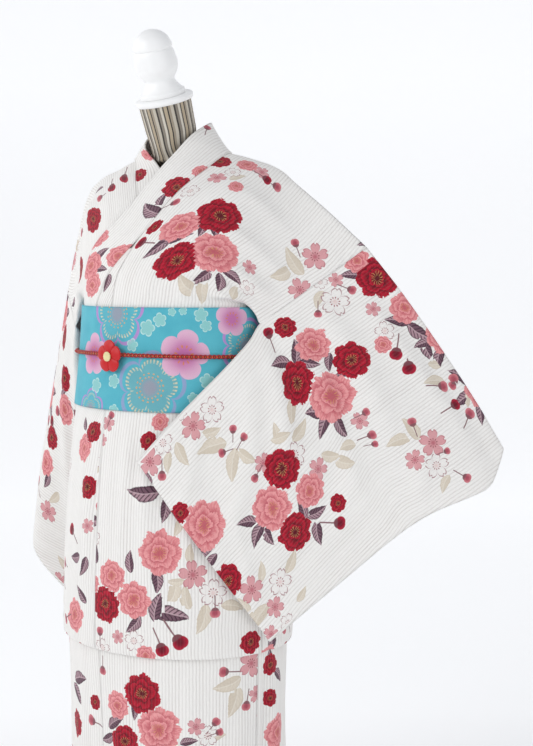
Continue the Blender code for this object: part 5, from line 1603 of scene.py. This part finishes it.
def stage_and_light():
    """Pale floor that turns up into a wall behind, glowing with painted light that grows stronger towards
    the wall; soft light, camera.
    """
    scene = bpy.context.scene
    paint, shader = new_material("stage_paint", 0.9)
    shader.inputs["Base Color"].default_value = (0.92, 0.925, 0.93, 1.0)
    # The stage glows white: painted light, weak on the floor near the robe and stronger up the wall, in
    # place of a lamp on the wall.
    shader.inputs["Emission Color"].default_value = (1.0, 1.0, 1.0, 1.0)
    put(node(paint.node_tree, "Attribute", attribute_name="painted_glow")[2], shader.inputs["Emission Strength"])
    bend = [math.radians(degrees) for degrees in range(5, 91, 5)]
    # Distance behind the robe and strength of the painted glow; the curve and the wall keep the strongest
    # glow.
    floor = ((-8.0, 0.13), (0.6, 0.13), (1.3, 0.25), (2.4, 0.29), (4.5, 0.34))
    profile = [(away, 0.0, painted_glow) for away, painted_glow in floor]
    profile += [(4.5 + 2.5 * math.sin(angle), 2.5 - 2.5 * math.cos(angle), 0.34) for angle in bend]
    profile.append((7.0, 9.0, 0.34))
    points = [
        ACROSS * across - TOWARDS * away + UP * (high - 0.0006)
        for away, high, painted_glow in profile for across in (-12, 12)
    ]
    faces = [(2 * k, 2 * k + 1, 2 * k + 3, 2 * k + 2) for k in range(len(profile) - 1)]
    mesh = bpy.data.meshes.new("stage_sweep")
    mesh.from_pydata([tuple(map(float, point)) for point in points], [], faces)
    mesh.shade_smooth()
    mesh.materials.append(paint)
    strength = mesh.attributes.new("painted_glow", "FLOAT", "POINT")
    for index, value in enumerate(strength.data):
        value.value = profile[index // 2][2]
    item = bpy.data.objects.new("stage_sweep", mesh)
    scene.collection.objects.link(item)
    for name, towards, across, high, size, power in (
        ("key", 1.9, -2.6, 2.3, 1.5, 35.0),
        ("fill", 2.6, 1.8, 1.6, 2.6, 22.0),
        ("back", -0.7, -2.4, 2.4, 1.8, 14.0),
    ):
        data = bpy.data.lights.new(name, "AREA")
        data.size = size
        data.energy = power
        lamp = bpy.data.objects.new(name, data)
        lamp.location = TOWARDS * towards + ACROSS * across + UP * high
        lamp.rotation_euler = (Vector(UP) - lamp.location).to_track_quat("-Z", "Y").to_euler()
        scene.collection.objects.link(lamp)
    world = bpy.data.worlds.new("soft")
    world.use_nodes = True
    sky = world.node_tree.nodes["Background"].inputs
    sky["Color"].default_value = (0.93, 0.95, 1.0, 1.0)
    sky["Strength"].default_value = 0.53
    scene.world = world
    scene.view_settings.view_transform = "Standard"
    data = bpy.data.cameras.new("camera")
    data.lens = LENS
    scene.camera = bpy.data.objects.new("camera", data)
    scene.camera.location = EYE
    scene.camera.rotation_euler = (math.pi / 2 - VIEW_DOWN, 0.0, VIEW)
    scene.collection.objects.link(scene.camera)


def build():
    """Lay out every piece, then the print, then make the meshes."""
    skirt("skirt_right_gore", -GORE_EDGE - 53.0, -GORE_EDGE, [SKIRT_UNDER, SKIRT_UNDER], 7)
    skirt("skirt_right_front", -SIDE, 17.0, [SKIRT_UNDER, SKIRT_UNDER], 11)
    skirt("skirt_right_back", 180.0, 360.0 - SIDE, [SKIRT_MIDDLE, SKIRT_UNDER], 11)
    skirt("skirt_left_back", SIDE, 180.0, [SKIRT_OVER, SKIRT_MIDDLE], 11)
    skirt("skirt_left_front", GORE_SEAM, SIDE, [SKIRT_OVER, SKIRT_OVER], 11)
    skirt("skirt_left_gore", GORE_EDGE, GORE_SEAM, [SKIRT_OVER, SKIRT_OVER], 7)
    for word, side in (("left", 1), ("right", -1)):
        front, back = body_panel("body_" + word, side)
        sleeve("sleeve_" + word, side, front, back)
    gore("gore_left", 1)
    gore("gore_right", -1)
    collar()
    belt()
    bow_loop("bow_left", 1)
    bow_loop("bow_right", -1)
    lay_print()
    lay_belt_print()
    cotton = cotton_material()
    teal = belt_material()
    white = satin_material("painted_wood", ink(251, 251, 250), 0.36, 0.04)
    steel = satin_material("painted_steel", ink(240, 240, 239), 0.34, 0.03)
    form = skin("form_padding", torso_rings(), jersey_material(), "form_torso")
    for name in PIECES:
        make_cloth(name, teal if name in BELT_PIECES else cotton)
    knot_piece(teal)
    cord_piece(cord_material())
    red = satin_material("clasp_red", ink(204, 4, 16), 0.42, 0.12)
    clasp_piece(red, satin_material("clasp_cream", ink(238, 226, 170), 0.4, 0.1))
    top = np.array([0.0, -0.036, 1.449])
    axis = np.array([0.0, -math.sin(LEAN), math.cos(LEAN)])
    pole = [(0.0125, 0.0), (0.0125, 0.6750)]
    cap = turned_rings(top + axis * 0.0004, LEAN, CAP, 96, 4)
    skin("neck_cap", cap, white, "form_cap")
    finial = turned_rings(top + axis * 0.0108, LEAN, FINIAL, 96, 6)
    skin("finial", finial, white, "form_finial")
    skin("pole", turned_rings(UP * 0.0245, 0.0, pole, 48, 4), steel, "form_pole")
    skin("foot", turned_rings(UP * 0.0, 0.0, FOOT, 120, 6), steel, "form_base")


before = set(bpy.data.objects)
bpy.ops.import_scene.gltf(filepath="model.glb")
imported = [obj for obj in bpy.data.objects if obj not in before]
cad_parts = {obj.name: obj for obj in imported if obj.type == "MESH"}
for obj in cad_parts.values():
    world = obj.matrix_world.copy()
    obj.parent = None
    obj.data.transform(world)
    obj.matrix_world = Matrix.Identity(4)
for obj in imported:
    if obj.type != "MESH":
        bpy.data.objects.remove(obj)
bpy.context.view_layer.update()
stage_and_light()
build()
bpy.context.view_layer.update()
